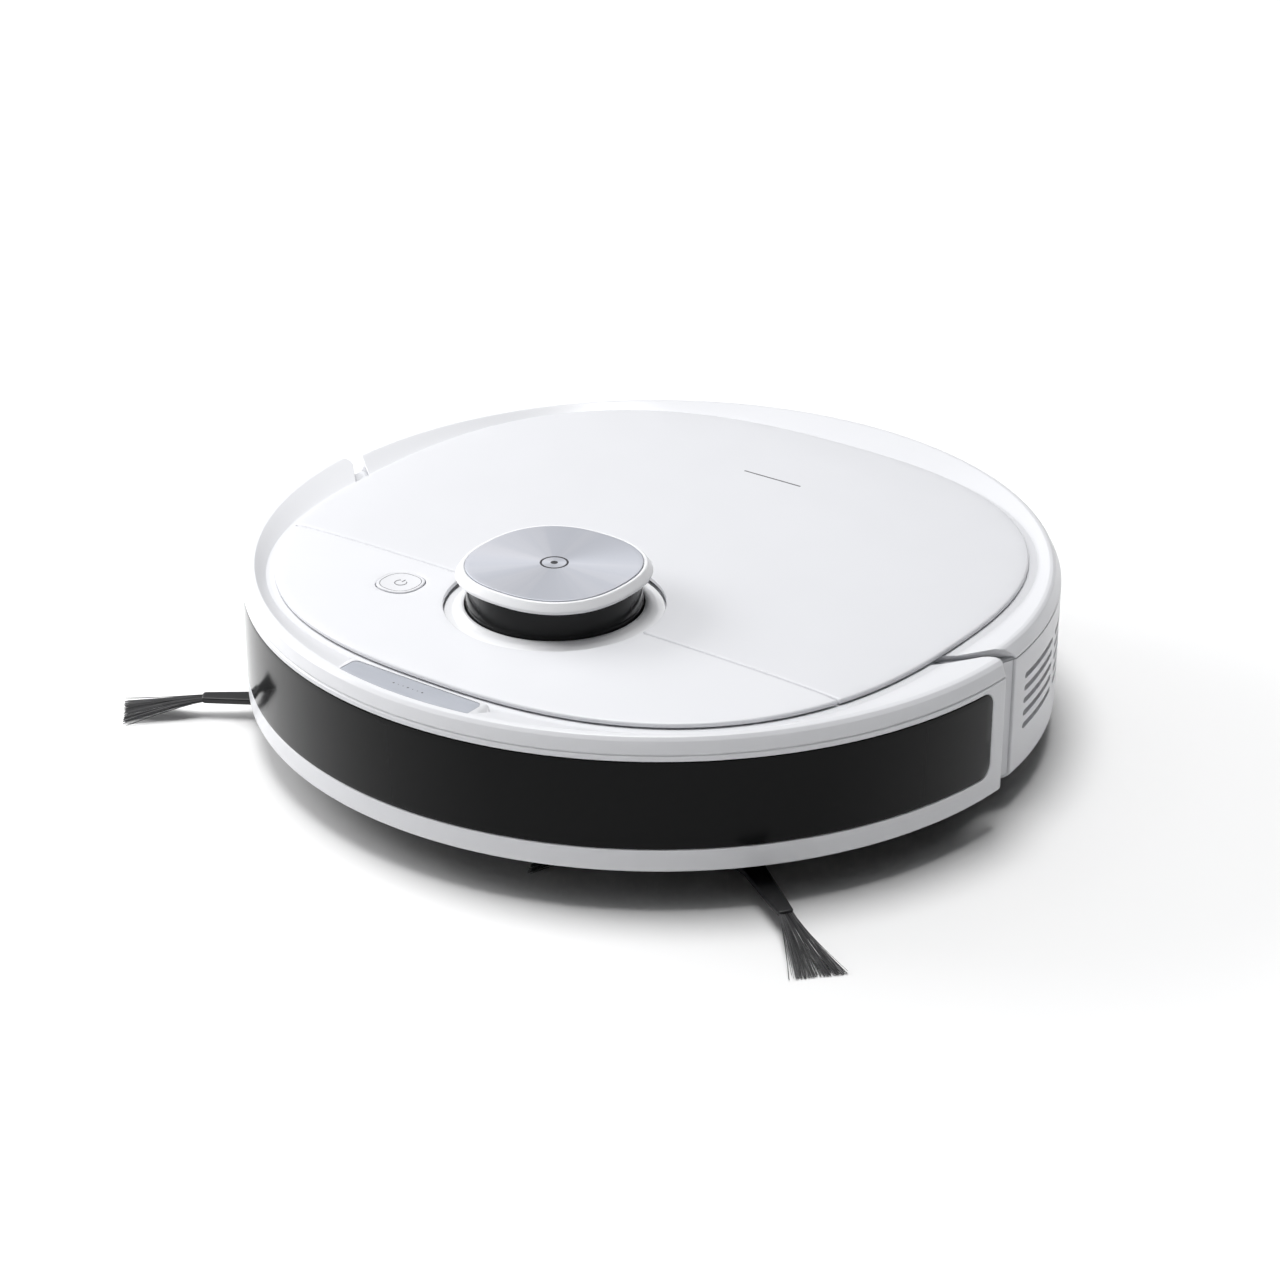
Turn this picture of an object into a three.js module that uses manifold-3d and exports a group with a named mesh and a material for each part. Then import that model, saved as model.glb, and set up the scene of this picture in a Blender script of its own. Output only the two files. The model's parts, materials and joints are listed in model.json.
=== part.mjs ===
// Robotic floor cleaner: a low disc-shaped robot with a lidar turret, a sliding front bumper,
// a hinged lid over a lift-out dust bin, two side brushes, a main brush and two sprung wheels.
// Units are millimetres. +Z is up and -Y is the front. Pieces are drawn round the centre of the round body.
// The bumper stands proud at the front, so at the end the whole robot moves back by half of that: the
// origin is on the floor under the middle of the outline.
// Angles round the body are measured from the front, positive towards +X.

import * as THREE from 'three';
import { mergeVertices } from 'three/addons/utils/BufferGeometryUtils.js';
import Module from 'manifold-3d';

const wasm = await Module();
wasm.setup();

// ---------- driving dimensions ----------

const ROUND = 48; // segments of the large shells
const MEDIUM = 20; // segments of wheels and the turret
const SMALL = 10; // segments of pins, shafts and bosses
const CAP_SEGMENTS = 32; // segments of the turret cap and its plate
const GAP = 0.3; // gap between neighbouring pieces
const FAR = 200; // reach of cutting tools beyond the body

const BODY_RADIUS = 170;
const BUMPER_RADIUS = 175;
const BUMPER_BOTTOM = 17.5;
const SEAM_Z = 68; // joint line between the side walls and the top rim
const CREST_Z = 74.8; // highest line of the rim
const LEDGE_Z = 72; // sunken ledge round the top panel
const LEDGE_WIDTH = 3.6;
const BUMPER_CREST = 169.6; // radius of the rim's highest line on the bumper
const REAR_CREST = 164.8; // and on the rear housing
const PANEL = { halfWidth: 149.5, front: 151.7, back: 142, power: 2.5, edgeZ: 74.4, dome: 1.8, thick: 1.8 };
const DOME_POWER = 6; // the panel is flat in the middle and falls near its edge
const PANEL_NOMINAL = 150; // rim profiles are drawn as if the panel edge had this radius
const LEDGE_NOMINAL = 154; // and as if the ledge ended at this one

const HINGE = { y: -71, z: 74.3, nose: 1.8, noseFrom: 46, noseTo: 100, pin: 0.9, pinFrom: 60, pinTo: 76 };
const CRADLE = { from: 65.3, to: 70.7, front: -71.2, back: -69.4, top: 73.9, bore: 1.2 };
const SEAM_Y = -73.3; // rear edge of the fixed front cover

const TURRET = { y: -71, hole: 45.4, wellIn: 36.9, wellOut: 45.1, wellFoot: 49, wellTop: 76.3 };
const LIDAR_WINDOW = { inner: 34.4, outer: 36, step: 75, top: 87.9 };
const LIDAR_ROTOR = { radius: 31, bottom: 68.5, top: 72.5, bridgeTop: 83, eye: 4.5, eyeX: 14, eyeZ: 78 };
const CAP = { halfWidth: 38, rim: 34.9, bottom: 89, top: 93.3, plate: 34.3, plateTop: 93.6, neck: 33.8 };
const BUTTON = { x: -62.3, y: -94.2, halfWidth: 9.5, top: 76.3, collarTop: 73.3, bottom: 70.2 };
const SQUIRCLE_POWER = 2.5;

const WINDOW = { bottom: 27.7, top: 65.1, halfAngle: 85, corner: 6, thick: 1.6 };
const LABEL = { halfWidth: 32, back: -157.6, bottom: 74.3, top: 75.1, seat: 34 };
const VENT = { rows: [56, 50.4, 44.8, 39.1, 33.3], height: 2.2, columns: [[96.5, 109], [111, 123.5]] };
const REAR_WALL = { bottom: 15.2, thick: 3, shoulderFrom: 1, shoulderTo: 14 };

// Parting lines between the bumper and the rear shell on the +X side, as [x, y] from outside to inside.
const BUMPER_END = [[165, -6], [135, -36]];
const WALL_END = [[BODY_RADIUS + 0.6, 11], [BODY_RADIUS - 3.7, 1]];
const RIM_END = [[150, -11.5], [138, -20.7]];

const PAN = { bottom: 12, top: 14.5, wallIn: 163, wallOut: 165, wallTop: 66 };
const DECK = { radius: 163.5, bottom: 66.5, top: 69 };
const BIN_BAY = { halfWidth: 71, front: 42, back: 129 };

const WHEEL = { x: 114, y: 3, z: 32, radius: 32, width: 22, rim: 27, axle: 3 };
const ARM = { y: -38, z: 34, inner: 97.6, outer: 101.4, stub: 2.2, motor: 12.5, motorFrom: 66 };
const ARM_POSTS = [[55, 58.5], [103, 107]];
const SPRING = { from: 59.4, to: 65, radius: 4.8, wire: 0.8, turns: 4 };
const CASTER = { y: -130, well: 20.5, wall: 1.8, roof: 31.5, wheel: 13, width: 14, trail: 6, stem: 4 };
const BRUSH = { y: 12, z: 22, core: 9.5, journal: 4, fins: 21.5, half: 80, count: 5, sweep: 70 };
const TUNNEL = { radius: 23.5, wall: 2.5, end: 2.3, flangeHalf: 78, flangeFront: -20, flangeBack: 42 };
const GUARD = { left: -83.5, right: 86, front: -18, back: 41, openHalf: 81, openReach: 21, tabX: 50 };
const BRUSH_WELL = { half: 84, front: -15, back: 38 };
const SIDE = { x: 112, y: -97, hub: 10.5, shaft: 3.5, armReach: 48, reach: 82, arms: 3, heading: -33 };
const SIDE_Z = { hubBottom: 6, hubTop: 11.5, armBottom: 6.6, armTop: 9.4, shaftTop: 19.5 };
const SIDE_MOTOR = { can: 12, head: 9, headBottom: 20, canBottom: 24, canTop: 48 };
const BATTERY = { halfWidth: 38, front: -104, back: -46, top: 38, rim: 3 };
const BIN = { halfWidth: 68, front: 44, back: 126, bottom: 17, top: 62, wall: 2 };
const BIN_MOUTH = { half: 43, bottom: 26, top: 35 };
const BIN_OUTLET = { half: 50, bottom: 24, top: 54 };
const BIN_EAR = { inner: 63, outer: 66.5, half: 4 };
const FILTER = { margin: 0.4, thick: 7, grooveHalf: 2.5, grooves: 4, pitch: 10 };
const HANDLE = { y: 70, z: 64, inner: 59, outer: 62, reach: 40, thick: 3, pin: 1.3 };
const FAN = { x: 108, y: 72, radius: 27, bottom: 17, top: 58, wall: 2, inlet: 10, boss: 12, bossTop: 38 };
const FAN_OUTLET = { half: 9, bottom: 24, top: 38 };
const IMPELLER = { radius: 21, hub: 6, bottom: 38.6, disc: 40, top: 50, blades: 7 };
const BOARD = { halfWidth: 62, front: -22, back: 38, bottom: 52, top: 53.6, chipTop: 55.4, footX: 50 };
// x, y, width and length of each chip
const CHIPS = [[-40, -12, 14, 14], [-8, 6, 20, 20], [30, -8, 16, 10], [34, 18, 12, 12]];

// Small pads let into the underside: proud is how far they stand below the pan, deep how far they go in.
const CONTACT = { from: 36, to: 54, front: -140, back: -127, proud: 0.4, deep: 0.9 };
const CLIFF = { from: 58, to: 74, front: -126, back: -118, proud: -0.1, deep: 1.1 };

const GEAR = { module: 0.8, from: -94.5, to: -87.5, slack: 0.25, climb: 15 };
const BRUSH_TEETH = 20;
const IDLER_TEETH = 30;
const PINION_TEETH = 10;

const COLOUR = {
  white: 0xf2f3f7,
  shade: 0xe6e7ec,
  black: 0x1b1b1d,
  glass: 0x0c0c0e,
  silver: 0xc6c9d2,
  label: 0xc4c8d4,
  grey: 0x8b8d92,
  rubber: 0x2a2a2c,
  steel: 0xb4b6ba,
  blue: 0x36507a,
  green: 0x1f5a3a,
  smoke: 0x55585e,
};

// ---------- joining and cutting ----------

const WELD = 1e-4; // vertices closer than this are one vertex

// The geometry with only shared positions, and without the empty triangles on a lathe's axis.
function welded(geometry) {
  const plain = geometry.clone();
  plain.deleteAttribute('normal');
  plain.deleteAttribute('uv');
  const merged = mergeVertices(plain, WELD);
  const index = [];
  for (let i = 0; i < merged.index.count; i += 3) {
    const [a, b, c] = [0, 1, 2].map((k) => merged.index.getX(i + k));
    if (a !== b && b !== c && c !== a) index.push(a, b, c);
  }
  merged.setIndex(index);
  return merged;
}

function toSolid(geometry) {
  const shape = welded(geometry);
  const vertProperties = new Float32Array(shape.attributes.position.array);
  const triVerts = new Uint32Array(shape.index.array);
  return new wasm.Manifold(new wasm.Mesh({ numProp: 3, vertProperties, triVerts }));
}

function toGeometry(solid) {
  const mesh = solid.getMesh();
  const geometry = new THREE.BufferGeometry();
  geometry.setAttribute('position', new THREE.BufferAttribute(new Float32Array(mesh.vertProperties), 3));
  geometry.setIndex(new THREE.BufferAttribute(new Uint32Array(mesh.triVerts), 1));
  return geometry;
}

function join(...parts) {
  return toGeometry(parts.map(toSolid).reduce((all, part) => all.add(part)));
}

function cut(base, ...tools) {
  return toGeometry(tools.map(toSolid).reduce((left, tool) => left.subtract(tool), toSolid(base)));
}

function common(first, second) {
  return toGeometry(toSolid(first).intersect(toSolid(second)));
}

// The mirror image in the plane X = 0, with its faces still pointing out.
function mirrored(geometry) {
  const copy = welded(geometry);
  copy.scale(-1, 1, 1);
  const order = Array.from(copy.index.array);
  for (let i = 0; i < order.length; i += 3) {
    [order[i], order[i + 1]] = [order[i + 1], order[i]];
  }
  copy.setIndex(order);
  return copy;
}

function forSide(side, geometry) {
  return side === 'left' ? mirrored(geometry) : geometry;
}

// ---------- basic shapes ----------

function box(x0, x1, y0, y1, z0, z1) {
  const geometry = new THREE.BoxGeometry(x1 - x0, y1 - y0, z1 - z0);
  return geometry.translate((x0 + x1) / 2, (y0 + y1) / 2, (z0 + z1) / 2);
}

function rodZ(x, y, radius, z0, z1, segments = SMALL) {
  const geometry = new THREE.CylinderGeometry(radius, radius, z1 - z0, segments);
  return geometry.rotateX(Math.PI / 2).translate(x, y, (z0 + z1) / 2);
}

function rodX(y, z, radius, x0, x1, segments = SMALL) {
  const geometry = new THREE.CylinderGeometry(radius, radius, x1 - x0, segments);
  return geometry.rotateZ(-Math.PI / 2).translate((x0 + x1) / 2, y, z);
}

// A closed profile of [radius, z] pairs turned round the Z axis.
function lathe(profile, segments = ROUND) {
  const points = profile.map(([radius, z]) => new THREE.Vector2(radius, z));
  if (THREE.ShapeUtils.area(points) < 0) points.reverse();
  const onAxis = points[0].x === 0 && points.at(-1).x === 0;
  if (!onAxis) points.push(points[0].clone());
  return new THREE.LatheGeometry(points, segments).rotateX(Math.PI / 2);
}

// A closed profile of [radius, x] pairs turned round a line parallel to X.
function latheX(profile, y, z, segments = MEDIUM) {
  return lathe(profile, segments).rotateY(Math.PI / 2).translate(0, y, z);
}

function polygon(points) {
  return new THREE.Shape(points.map(([x, y]) => new THREE.Vector2(x, y)));
}

function prism(shape, bottom, top) {
  const options = { depth: top - bottom, bevelEnabled: false, curveSegments: 6 };
  return new THREE.ExtrudeGeometry(shape, options).translate(0, 0, bottom);
}

// A shape drawn in (y, z) and extruded along X.
function prismX(shape, x0, x1) {
  const turn = new THREE.Matrix4();
  turn.makeBasis(new THREE.Vector3(0, 1, 0), new THREE.Vector3(0, 0, 1), new THREE.Vector3(1, 0, 0));
  return prism(shape, x0, x1).applyMatrix4(turn);
}

function squircle(halfWidth, segments = MEDIUM) {
  const power = 2 / SQUIRCLE_POWER;
  const along = (value) => halfWidth * Math.sign(value) * Math.abs(value) ** power;
  const points = [];
  for (let i = 0; i < segments; i += 1) {
    const angle = (i / segments) * 2 * Math.PI;
    points.push([along(Math.cos(angle)), along(Math.sin(angle))]);
  }
  return polygon(points);
}

const radians = THREE.MathUtils.degToRad;

// A plate bent round the vertical axis between two angles in degrees, with rounded corners.
function bentPlate(inner, outer, bottom, top, from, to, corner) {
  const arcSteps = corner ? 3 : 0;
  const middleSteps = Math.round((to - from) / 9);
  const columns = [];
  const length = radians(to - from) * outer;
  for (let i = 0; i <= arcSteps; i += 1) {
    const turn = arcSteps ? (i / arcSteps) * (Math.PI / 2) : 0;
    columns.push([corner * (1 - Math.cos(turn)), corner * (1 - Math.sin(turn))]);
  }
  for (let i = 1; i < middleSteps; i += 1) {
    columns.push([corner + ((length - 2 * corner) * i) / middleSteps, 0]);
  }
  for (let i = arcSteps; i >= 0; i -= 1) {
    columns.push([length - columns[i][0], columns[i][1]]);
  }
  const steps = columns.length - 1;
  const geometry = new THREE.BoxGeometry(1, 1, 1, steps, 1, 1);
  const position = geometry.attributes.position;
  for (let i = 0; i < position.count; i += 1) {
    const [distance, inset] = columns[Math.round((position.getX(i) + 0.5) * steps)];
    const angle = radians(from) + distance / outer;
    const radius = position.getZ(i) > 0 ? outer : inner;
    const z = position.getY(i) > 0 ? top - inset : bottom + inset;
    position.setXYZ(i, radius * Math.sin(angle), -radius * Math.cos(angle), z);
  }
  return geometry;
}

// Moves every point along its own radius: radiusAt gets the drawn radius and the angle.
function reshaped(geometry, radiusAt) {
  const position = geometry.attributes.position;
  for (let i = 0; i < position.count; i += 1) {
    const x = position.getX(i);
    const y = position.getY(i);
    const radius = Math.hypot(x, y);
    if (radius === 0) continue;
    const scale = radiusAt(radius, Math.atan2(x, -y)) / radius;
    position.setXY(i, x * scale, y * scale);
  }
  return geometry;
}

// ---------- outline of the top panel ----------

// Distance from the centre to the panel's edge in the direction of an angle.
function panelRadius(angle) {
  const across = Math.abs(Math.sin(angle)) / PANEL.halfWidth;
  const depth = Math.cos(angle) > 0 ? PANEL.front : PANEL.back;
  const along = Math.abs(Math.cos(angle)) / depth;
  return (across ** PANEL.power + along ** PANEL.power) ** (-1 / PANEL.power);
}

// Turns a radius drawn for a round panel into one that follows the real panel's outline.
function rimRadius(crest) {
  return (radius, angle) => {
    const edge = panelRadius(angle);
    if (radius >= crest) return radius;
    if (radius <= LEDGE_NOMINAL) {
      return edge + ((radius - PANEL_NOMINAL) * LEDGE_WIDTH) / (LEDGE_NOMINAL - PANEL_NOMINAL);
    }
    const ledge = edge + LEDGE_WIDTH;
    return ledge + ((radius - LEDGE_NOMINAL) * (crest - ledge)) / (crest - LEDGE_NOMINAL);
  };
}

function panelTop(fraction) {
  return PANEL.edgeZ + PANEL.dome * (1 - fraction ** DOME_POWER);
}

// The whole top panel, before it is parted into front cover and lid.
function topPanel() {
  const above = [0, 0.6, 0.78, 0.88, 0.95, 1].map((f) => [f * PANEL_NOMINAL, panelTop(f)]);
  const below = [1, 0.88, 0.6, 0].map((f) => [f * PANEL_NOMINAL, panelTop(f) - PANEL.thick]);
  const plate = lathe([...above, ...below]);
  const outline = reshaped(plate, (radius, angle) => (radius * panelRadius(angle)) / PANEL_NOMINAL);
  return cut(outline, rodZ(0, TURRET.y, TURRET.hole, 0, FAR, MEDIUM));
}

// ---------- bumper ----------

function frontRegion() {
  const half = [[FAR, -FAR], [FAR, BUMPER_END[0][1]], ...BUMPER_END];
  const points = [...half, ...half.map(([x, y]) => [-x, y]).reverse()];
  return prism(polygon(points), 0, FAR);
}

function bumperShell() {
  const r = BUMPER_RADIUS;
  const profile = [
    [r - 3.2, BUMPER_BOTTOM], [r - 0.6, BUMPER_BOTTOM], [r, BUMPER_BOTTOM + 0.8],
    [r, SEAM_Z - 0.7], [r - 0.8, SEAM_Z - 0.1], [r - 0.3, SEAM_Z + 0.5],
    [r - 2.1, CREST_Z - 1.9], [r - 3.4, CREST_Z - 0.4], [BUMPER_CREST, CREST_Z],
    [LEDGE_NOMINAL, LEDGE_Z], [144, LEDGE_Z - 0.4], [144, LEDGE_Z - 2.2], [LEDGE_NOMINAL, LEDGE_Z - 2],
    [BUMPER_CREST - 1.6, CREST_Z - 2.4], [r - 4.4, CREST_Z - 3.3], [r - 3.2, SEAM_Z - 1],
  ];
  const ring = reshaped(lathe(profile), rimRadius(BUMPER_CREST));
  const seat = common(
    box(-LABEL.seat, LABEL.seat, -FAR, LABEL.back + 1.3, LEDGE_Z - 1, LABEL.top - 0.2),
    rodZ(0, 0, BUMPER_CREST, 0, FAR, ROUND),
  );
  const shell = join(common(ring, frontRegion()), seat);
  const angle = WINDOW.halfAngle + 0.1;
  const pocketFloor = BUMPER_RADIUS - WINDOW.thick - GAP - 0.1;
  const [low, high] = [WINDOW.bottom - GAP, WINDOW.top + GAP];
  const pocket = bentPlate(pocketFloor, BUMPER_RADIUS + 1, low, high, -angle, angle, WINDOW.corner + GAP);
  const labelPocket = common(
    box(-LABEL.halfWidth - GAP, LABEL.halfWidth + GAP, -FAR, LABEL.back + GAP, LABEL.bottom - GAP, FAR),
    rodZ(0, 0, BUMPER_CREST + GAP, 0, FAR, ROUND),
  );
  return cut(shell, pocket, labelPocket);
}

function bumperWindow() {
  const inner = BUMPER_RADIUS - WINDOW.thick;
  const end = WINDOW.halfAngle;
  return bentPlate(inner, BUMPER_RADIUS, WINDOW.bottom, WINDOW.top, -end, end, WINDOW.corner);
}

function bumperLabel() {
  const strip = box(-LABEL.halfWidth, LABEL.halfWidth, -FAR, LABEL.back, LABEL.bottom, LABEL.top);
  return common(strip, rodZ(0, 0, BUMPER_CREST - 0.1, 0, FAR, ROUND));
}

// ---------- rear shell, deck and lid ----------

// Rear side of the parting line; the wall and the rim share its facets beside the bumper's ends.
function rearRegion(withRim) {
  const half = [[FAR, FAR], [FAR, WALL_END[0][1]], ...WALL_END, ...(withRim ? RIM_END : [])];
  const points = [...half, ...half.map(([x, y]) => [-x, y]).reverse()];
  return prism(polygon(points), 0, FAR);
}

function ventSlots() {
  const slots = [];
  for (const z of VENT.rows) {
    for (const [from, to] of VENT.columns) {
      for (const [start, end] of [[from, to], [-to, -from]]) {
        const [low, high] = [z - VENT.height / 2, z + VENT.height / 2];
        slots.push(bentPlate(BODY_RADIUS - 5, BODY_RADIUS + 2, low, high, start, end, 0));
      }
    }
  }
  return slots;
}

function rearWall() {
  const { bottom, thick, shoulderFrom, shoulderTo } = REAR_WALL;
  const top = SEAM_Z - 0.2;
  const inner = PAN.wallOut + 0.6;
  const flangeTop = bottom + 2.8;
  const wall = lathe([
    [inner, bottom], [BODY_RADIUS - 0.6, bottom], [BODY_RADIUS, bottom + 0.8], [BODY_RADIUS, top],
    [BODY_RADIUS - thick, top], [BODY_RADIUS - thick, flangeTop], [inner, flangeTop],
  ]);
  const ends = lathe([[inner, bottom], [BODY_RADIUS, bottom], [BODY_RADIUS, top], [inner, top]]);
  const shoulders = common(ends, box(-FAR, FAR, shoulderFrom, shoulderTo, 0, FAR));
  return cut(common(join(wall, shoulders), rearRegion(false)), ...ventSlots());
}

function upperHousing() {
  const bottom = SEAM_Z + 0.2;
  const rim = lathe([
    [139, bottom], [BODY_RADIUS, bottom], [BODY_RADIUS - 0.2, bottom + 1],
    [BODY_RADIUS - 2.6, CREST_Z - 0.9], [BODY_RADIUS - 3.8, CREST_Z - 0.2], [REAR_CREST, CREST_Z],
    [LEDGE_NOMINAL, LEDGE_Z], [140, LEDGE_Z - 0.2],
  ]);
  const rearRim = common(reshaped(rim, rimRadius(REAR_CREST)), rearRegion(true));
  const deck = rodZ(0, 0, DECK.radius, DECK.bottom, DECK.top, ROUND);
  const bay = box(-BIN_BAY.halfWidth, BIN_BAY.halfWidth, BIN_BAY.front, BIN_BAY.back, 0, FAR);
  const lidarHole = rodZ(0, TURRET.y, TURRET.hole - 1.4, 0, FAR, MEDIUM);
  const post = (from, to) => box(from, to, CRADLE.front, CRADLE.back, DECK.top - 0.1, CRADLE.top);
  const cradles = [post(CRADLE.from, CRADLE.to), post(-CRADLE.to, -CRADLE.from)];
  const pinRun = rodX(HINGE.y, HINGE.z, CRADLE.bore, -FAR, FAR);
  return cut(join(deck, rearRim, ...cradles), bay, lidarHole, pinRun);
}

function lid() {
  const side = HINGE.noseTo;
  const region = polygon([
    [-FAR, HINGE.y - 1.2], [-side, HINGE.y - 1.2], [-side, HINGE.y], [side, HINGE.y],
    [side, HINGE.y - 1.2], [FAR, HINGE.y - 1.2], [FAR, FAR], [-FAR, FAR],
  ]);
  const panel = common(topPanel(), prism(region, 0, FAR));
  const nose = (from, to) => rodX(HINGE.y, HINGE.z, HINGE.nose, from, to);
  const noses = [nose(HINGE.noseFrom, side), nose(-side, -HINGE.noseFrom)];
  const bore = (from, to) => rodX(HINGE.y, HINGE.z, HINGE.pin + 0.25, from, to);
  const bores = [bore(HINGE.pinFrom - 2, HINGE.pinTo + 2), bore(-HINGE.pinTo - 2, -HINGE.pinFrom + 2)];
  const notch = (from, to) => box(from, to, HINGE.y - 2, HINGE.y + 2.2, CRADLE.top - 3, HINGE.z - 0.05);
  const [near, far] = [CRADLE.from - 0.5, CRADLE.to + 0.5];
  return cut(join(panel, ...noses), ...bores, notch(near, far), notch(-far, -near));
}

function hingePin() {
  return rodX(HINGE.y, HINGE.z, HINGE.pin, HINGE.pinFrom, HINGE.pinTo, 12);
}

function frontCover() {
  const panel = common(topPanel(), box(-FAR, FAR, -FAR, SEAM_Y, 0, FAR));
  const opening = prism(squircle(BUTTON.halfWidth + 0.4), 0, FAR).translate(BUTTON.x, BUTTON.y, 0);
  const bosses = [[95, -95], [60, -125], [-95, -105], [-60, -125]].map(
    ([x, y]) => rodZ(x, y, 3, DECK.top + GAP, PANEL.edgeZ + 0.4, 12),
  );
  return join(cut(panel, opening), ...bosses);
}

function powerButton() {
  const cap = prism(squircle(BUTTON.halfWidth), BUTTON.collarTop - 0.5, BUTTON.top);
  const collar = prism(squircle(BUTTON.halfWidth + 1.3), BUTTON.collarTop - 1.3, BUTTON.collarTop);
  const stem = rodZ(0, 0, 3, BUTTON.bottom, BUTTON.collarTop - 1, 12);
  return join(cap, collar, stem).translate(BUTTON.x, BUTTON.y, 0);
}

// ---------- lidar turret ----------

function turretWell() {
  const { wellIn, wellOut, wellFoot, wellTop } = TURRET;
  const profile = [
    [wellIn, DECK.top + 0.4], [wellFoot, DECK.top + 0.4], [wellFoot, DECK.top + 1.8],
    [wellOut, DECK.top + 1.8], [wellOut, wellTop - 3.3], [wellOut - 0.7, wellTop - 3.2],
    [wellOut - 3.1, wellTop - 2.7], [wellOut - 5.6, wellTop - 1.5], [wellIn + 0.9, wellTop - 0.2],
    [wellIn, wellTop],
  ];
  return lathe(profile, MEDIUM).translate(0, TURRET.y, 0);
}

function turretWindow() {
  const { inner, outer, step, top } = LIDAR_WINDOW;
  const bottom = DECK.top - 0.6;
  const profile = [
    [inner, bottom], [outer + GAP, bottom], [outer + GAP, step], [outer, step + 0.6],
    [outer, top], [inner, top],
  ];
  return lathe(profile, MEDIUM).translate(0, TURRET.y, 0);
}

function lidarBase() {
  const profile = [[0, 46], [33, 46], [36, 49], [36, 66.4], [43.4, 66.4], [43.4, SEAM_Z], [0, SEAM_Z]];
  return lathe(profile, MEDIUM).translate(0, TURRET.y, 0);
}

function lidarRotor() {
  const { radius, bottom, top, bridgeTop, eye, eyeX, eyeZ } = LIDAR_ROTOR;
  const disc = rodZ(0, 0, radius, bottom, top, MEDIUM);
  const bridge = box(-26, 26, -9, 6, top - 0.1, bridgeTop);
  const barrel = (x) => rodZ(0, 0, eye, 0, 6, 16).rotateX(Math.PI / 2).translate(x, -8.5, eyeZ);
  return join(disc, bridge, barrel(-eyeX), barrel(eyeX)).translate(0, TURRET.y, 0);
}

function turretCap() {
  const { halfWidth, rim, bottom, top, plate, neck } = CAP;
  const recess = plate + GAP;
  const profile = [
    [0, top - 1], [recess, top - 1], [recess, top - 0.1], [rim, top], [halfWidth - 1.4, top - 0.6],
    [halfWidth - 0.3, top - 2.1], [halfWidth, top - 3.5], [halfWidth - 0.4, bottom], [neck, bottom],
    [neck, bottom - 4.5], [neck - 1.3, bottom - 4.5], [neck - 1.3, bottom + 1.5], [0, bottom + 1.5],
  ];
  const corners = (angle) => {
    const sum = Math.abs(Math.sin(angle)) ** SQUIRCLE_POWER + Math.abs(Math.cos(angle)) ** SQUIRCLE_POWER;
    return sum ** (-1 / SQUIRCLE_POWER);
  };
  const round = lathe(profile, CAP_SEGMENTS);
  const squared = reshaped(round, (r, angle) => (r > neck + 0.1 ? r * corners(angle) : r));
  return squared.translate(0, TURRET.y, 0);
}

function capPlate() {
  const plate = prism(squircle(CAP.plate, CAP_SEGMENTS), CAP.top - 0.7, CAP.plateTop);
  return plate.translate(0, TURRET.y, 0);
}

// ---------- base pan and chassis ----------

function armPost(from, to) {
  const post = box(from, to, ARM.y - 4.5, ARM.y + 3.4, PAN.top - 0.1, ARM.z + 4.5);
  return cut(post, rodX(ARM.y, ARM.z, ARM.stub + GAP, from - 1, to + 1));
}

function basePan() {
  const { bottom, top, wallIn, wallOut, wallTop } = PAN;
  const flat = 150; // radius of the level part of the underside
  const shell = lathe([
    [0, bottom], [flat, bottom], [wallOut - 1.5, bottom + 3], [wallOut, bottom + 5], [wallOut, wallTop],
    [wallIn, wallTop], [wallIn, bottom + 5.8], [flat - 1, top], [0, top],
  ]);
  const posts = ARM_POSTS.flatMap(([from, to]) => [armPost(from, to), mirrored(armPost(from, to))]);
  const casterCup = rodZ(0, CASTER.y, CASTER.well + CASTER.wall, bottom, CASTER.roof, MEDIUM);
  const casterWell = rodZ(0, CASTER.y, CASTER.well, 0, CASTER.roof - 2, MEDIUM);
  const casterBore = rodZ(0, CASTER.y, CASTER.stem + GAP, 0, FAR);
  const wellTop = 20;
  const wheelOut = WHEEL.x + WHEEL.width / 2 + 2.5;
  const wheelWell = box(ARM.inner - 0.4, wheelOut, ARM.y + 3.6, 38, 0, wellTop);
  const reach = BRUSH_WELL.half + 2 * GAP;
  const brushWell = box(-reach, reach, BRUSH_WELL.front, BRUSH_WELL.back, 0, wellTop);
  const gearWell = box(-ARM.inner - 0.4, 1 - BRUSH_WELL.half, 0, 58, 0, wellTop);
  const cover = batteryRecess(wellTop);
  const shaftHole = rodZ(SIDE.x, SIDE.y, SIDE.shaft + 0.7, 0, 30);
  const tools = [wheelWell, shaftHole, padPocket(CONTACT), padPocket(CLIFF)];
  const paired = tools.flatMap((tool) => [tool, mirrored(tool)]);
  const pan = join(shell, ...posts, casterCup);
  return cut(pan, casterWell, casterBore, brushWell, gearWell, cover, ...paired);
}

function pad({ from, to, front, back, proud, deep }) {
  return box(from, to, front, back, PAN.bottom - proud, PAN.bottom + deep);
}

function padPocket({ from, to, front, back, deep }) {
  return box(from - GAP, to + GAP, front - GAP, back + GAP, 0, PAN.bottom + deep + GAP);
}

function batteryRecess(top) {
  const { halfWidth, front, back, rim } = BATTERY;
  const reach = rim + GAP;
  return box(-halfWidth - reach, halfWidth + reach, front - reach, back + reach, 0, top);
}

const SCREW = { x: 30, y: -50, radius: 3 };

function batteryCover() {
  const { halfWidth, front, back, rim } = BATTERY;
  const plate = box(-halfWidth - rim, halfWidth + rim, front - rim, back + rim, PAN.bottom, PAN.top - 0.3);
  const hole = (x) => rodZ(x, SCREW.y, SCREW.radius + GAP, 0, FAR);
  const grip = box(-12, 12, front + 4, front + 9, 0, PAN.bottom + 0.9);
  return cut(plate, hole(SCREW.x), hole(-SCREW.x), grip);
}

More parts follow.
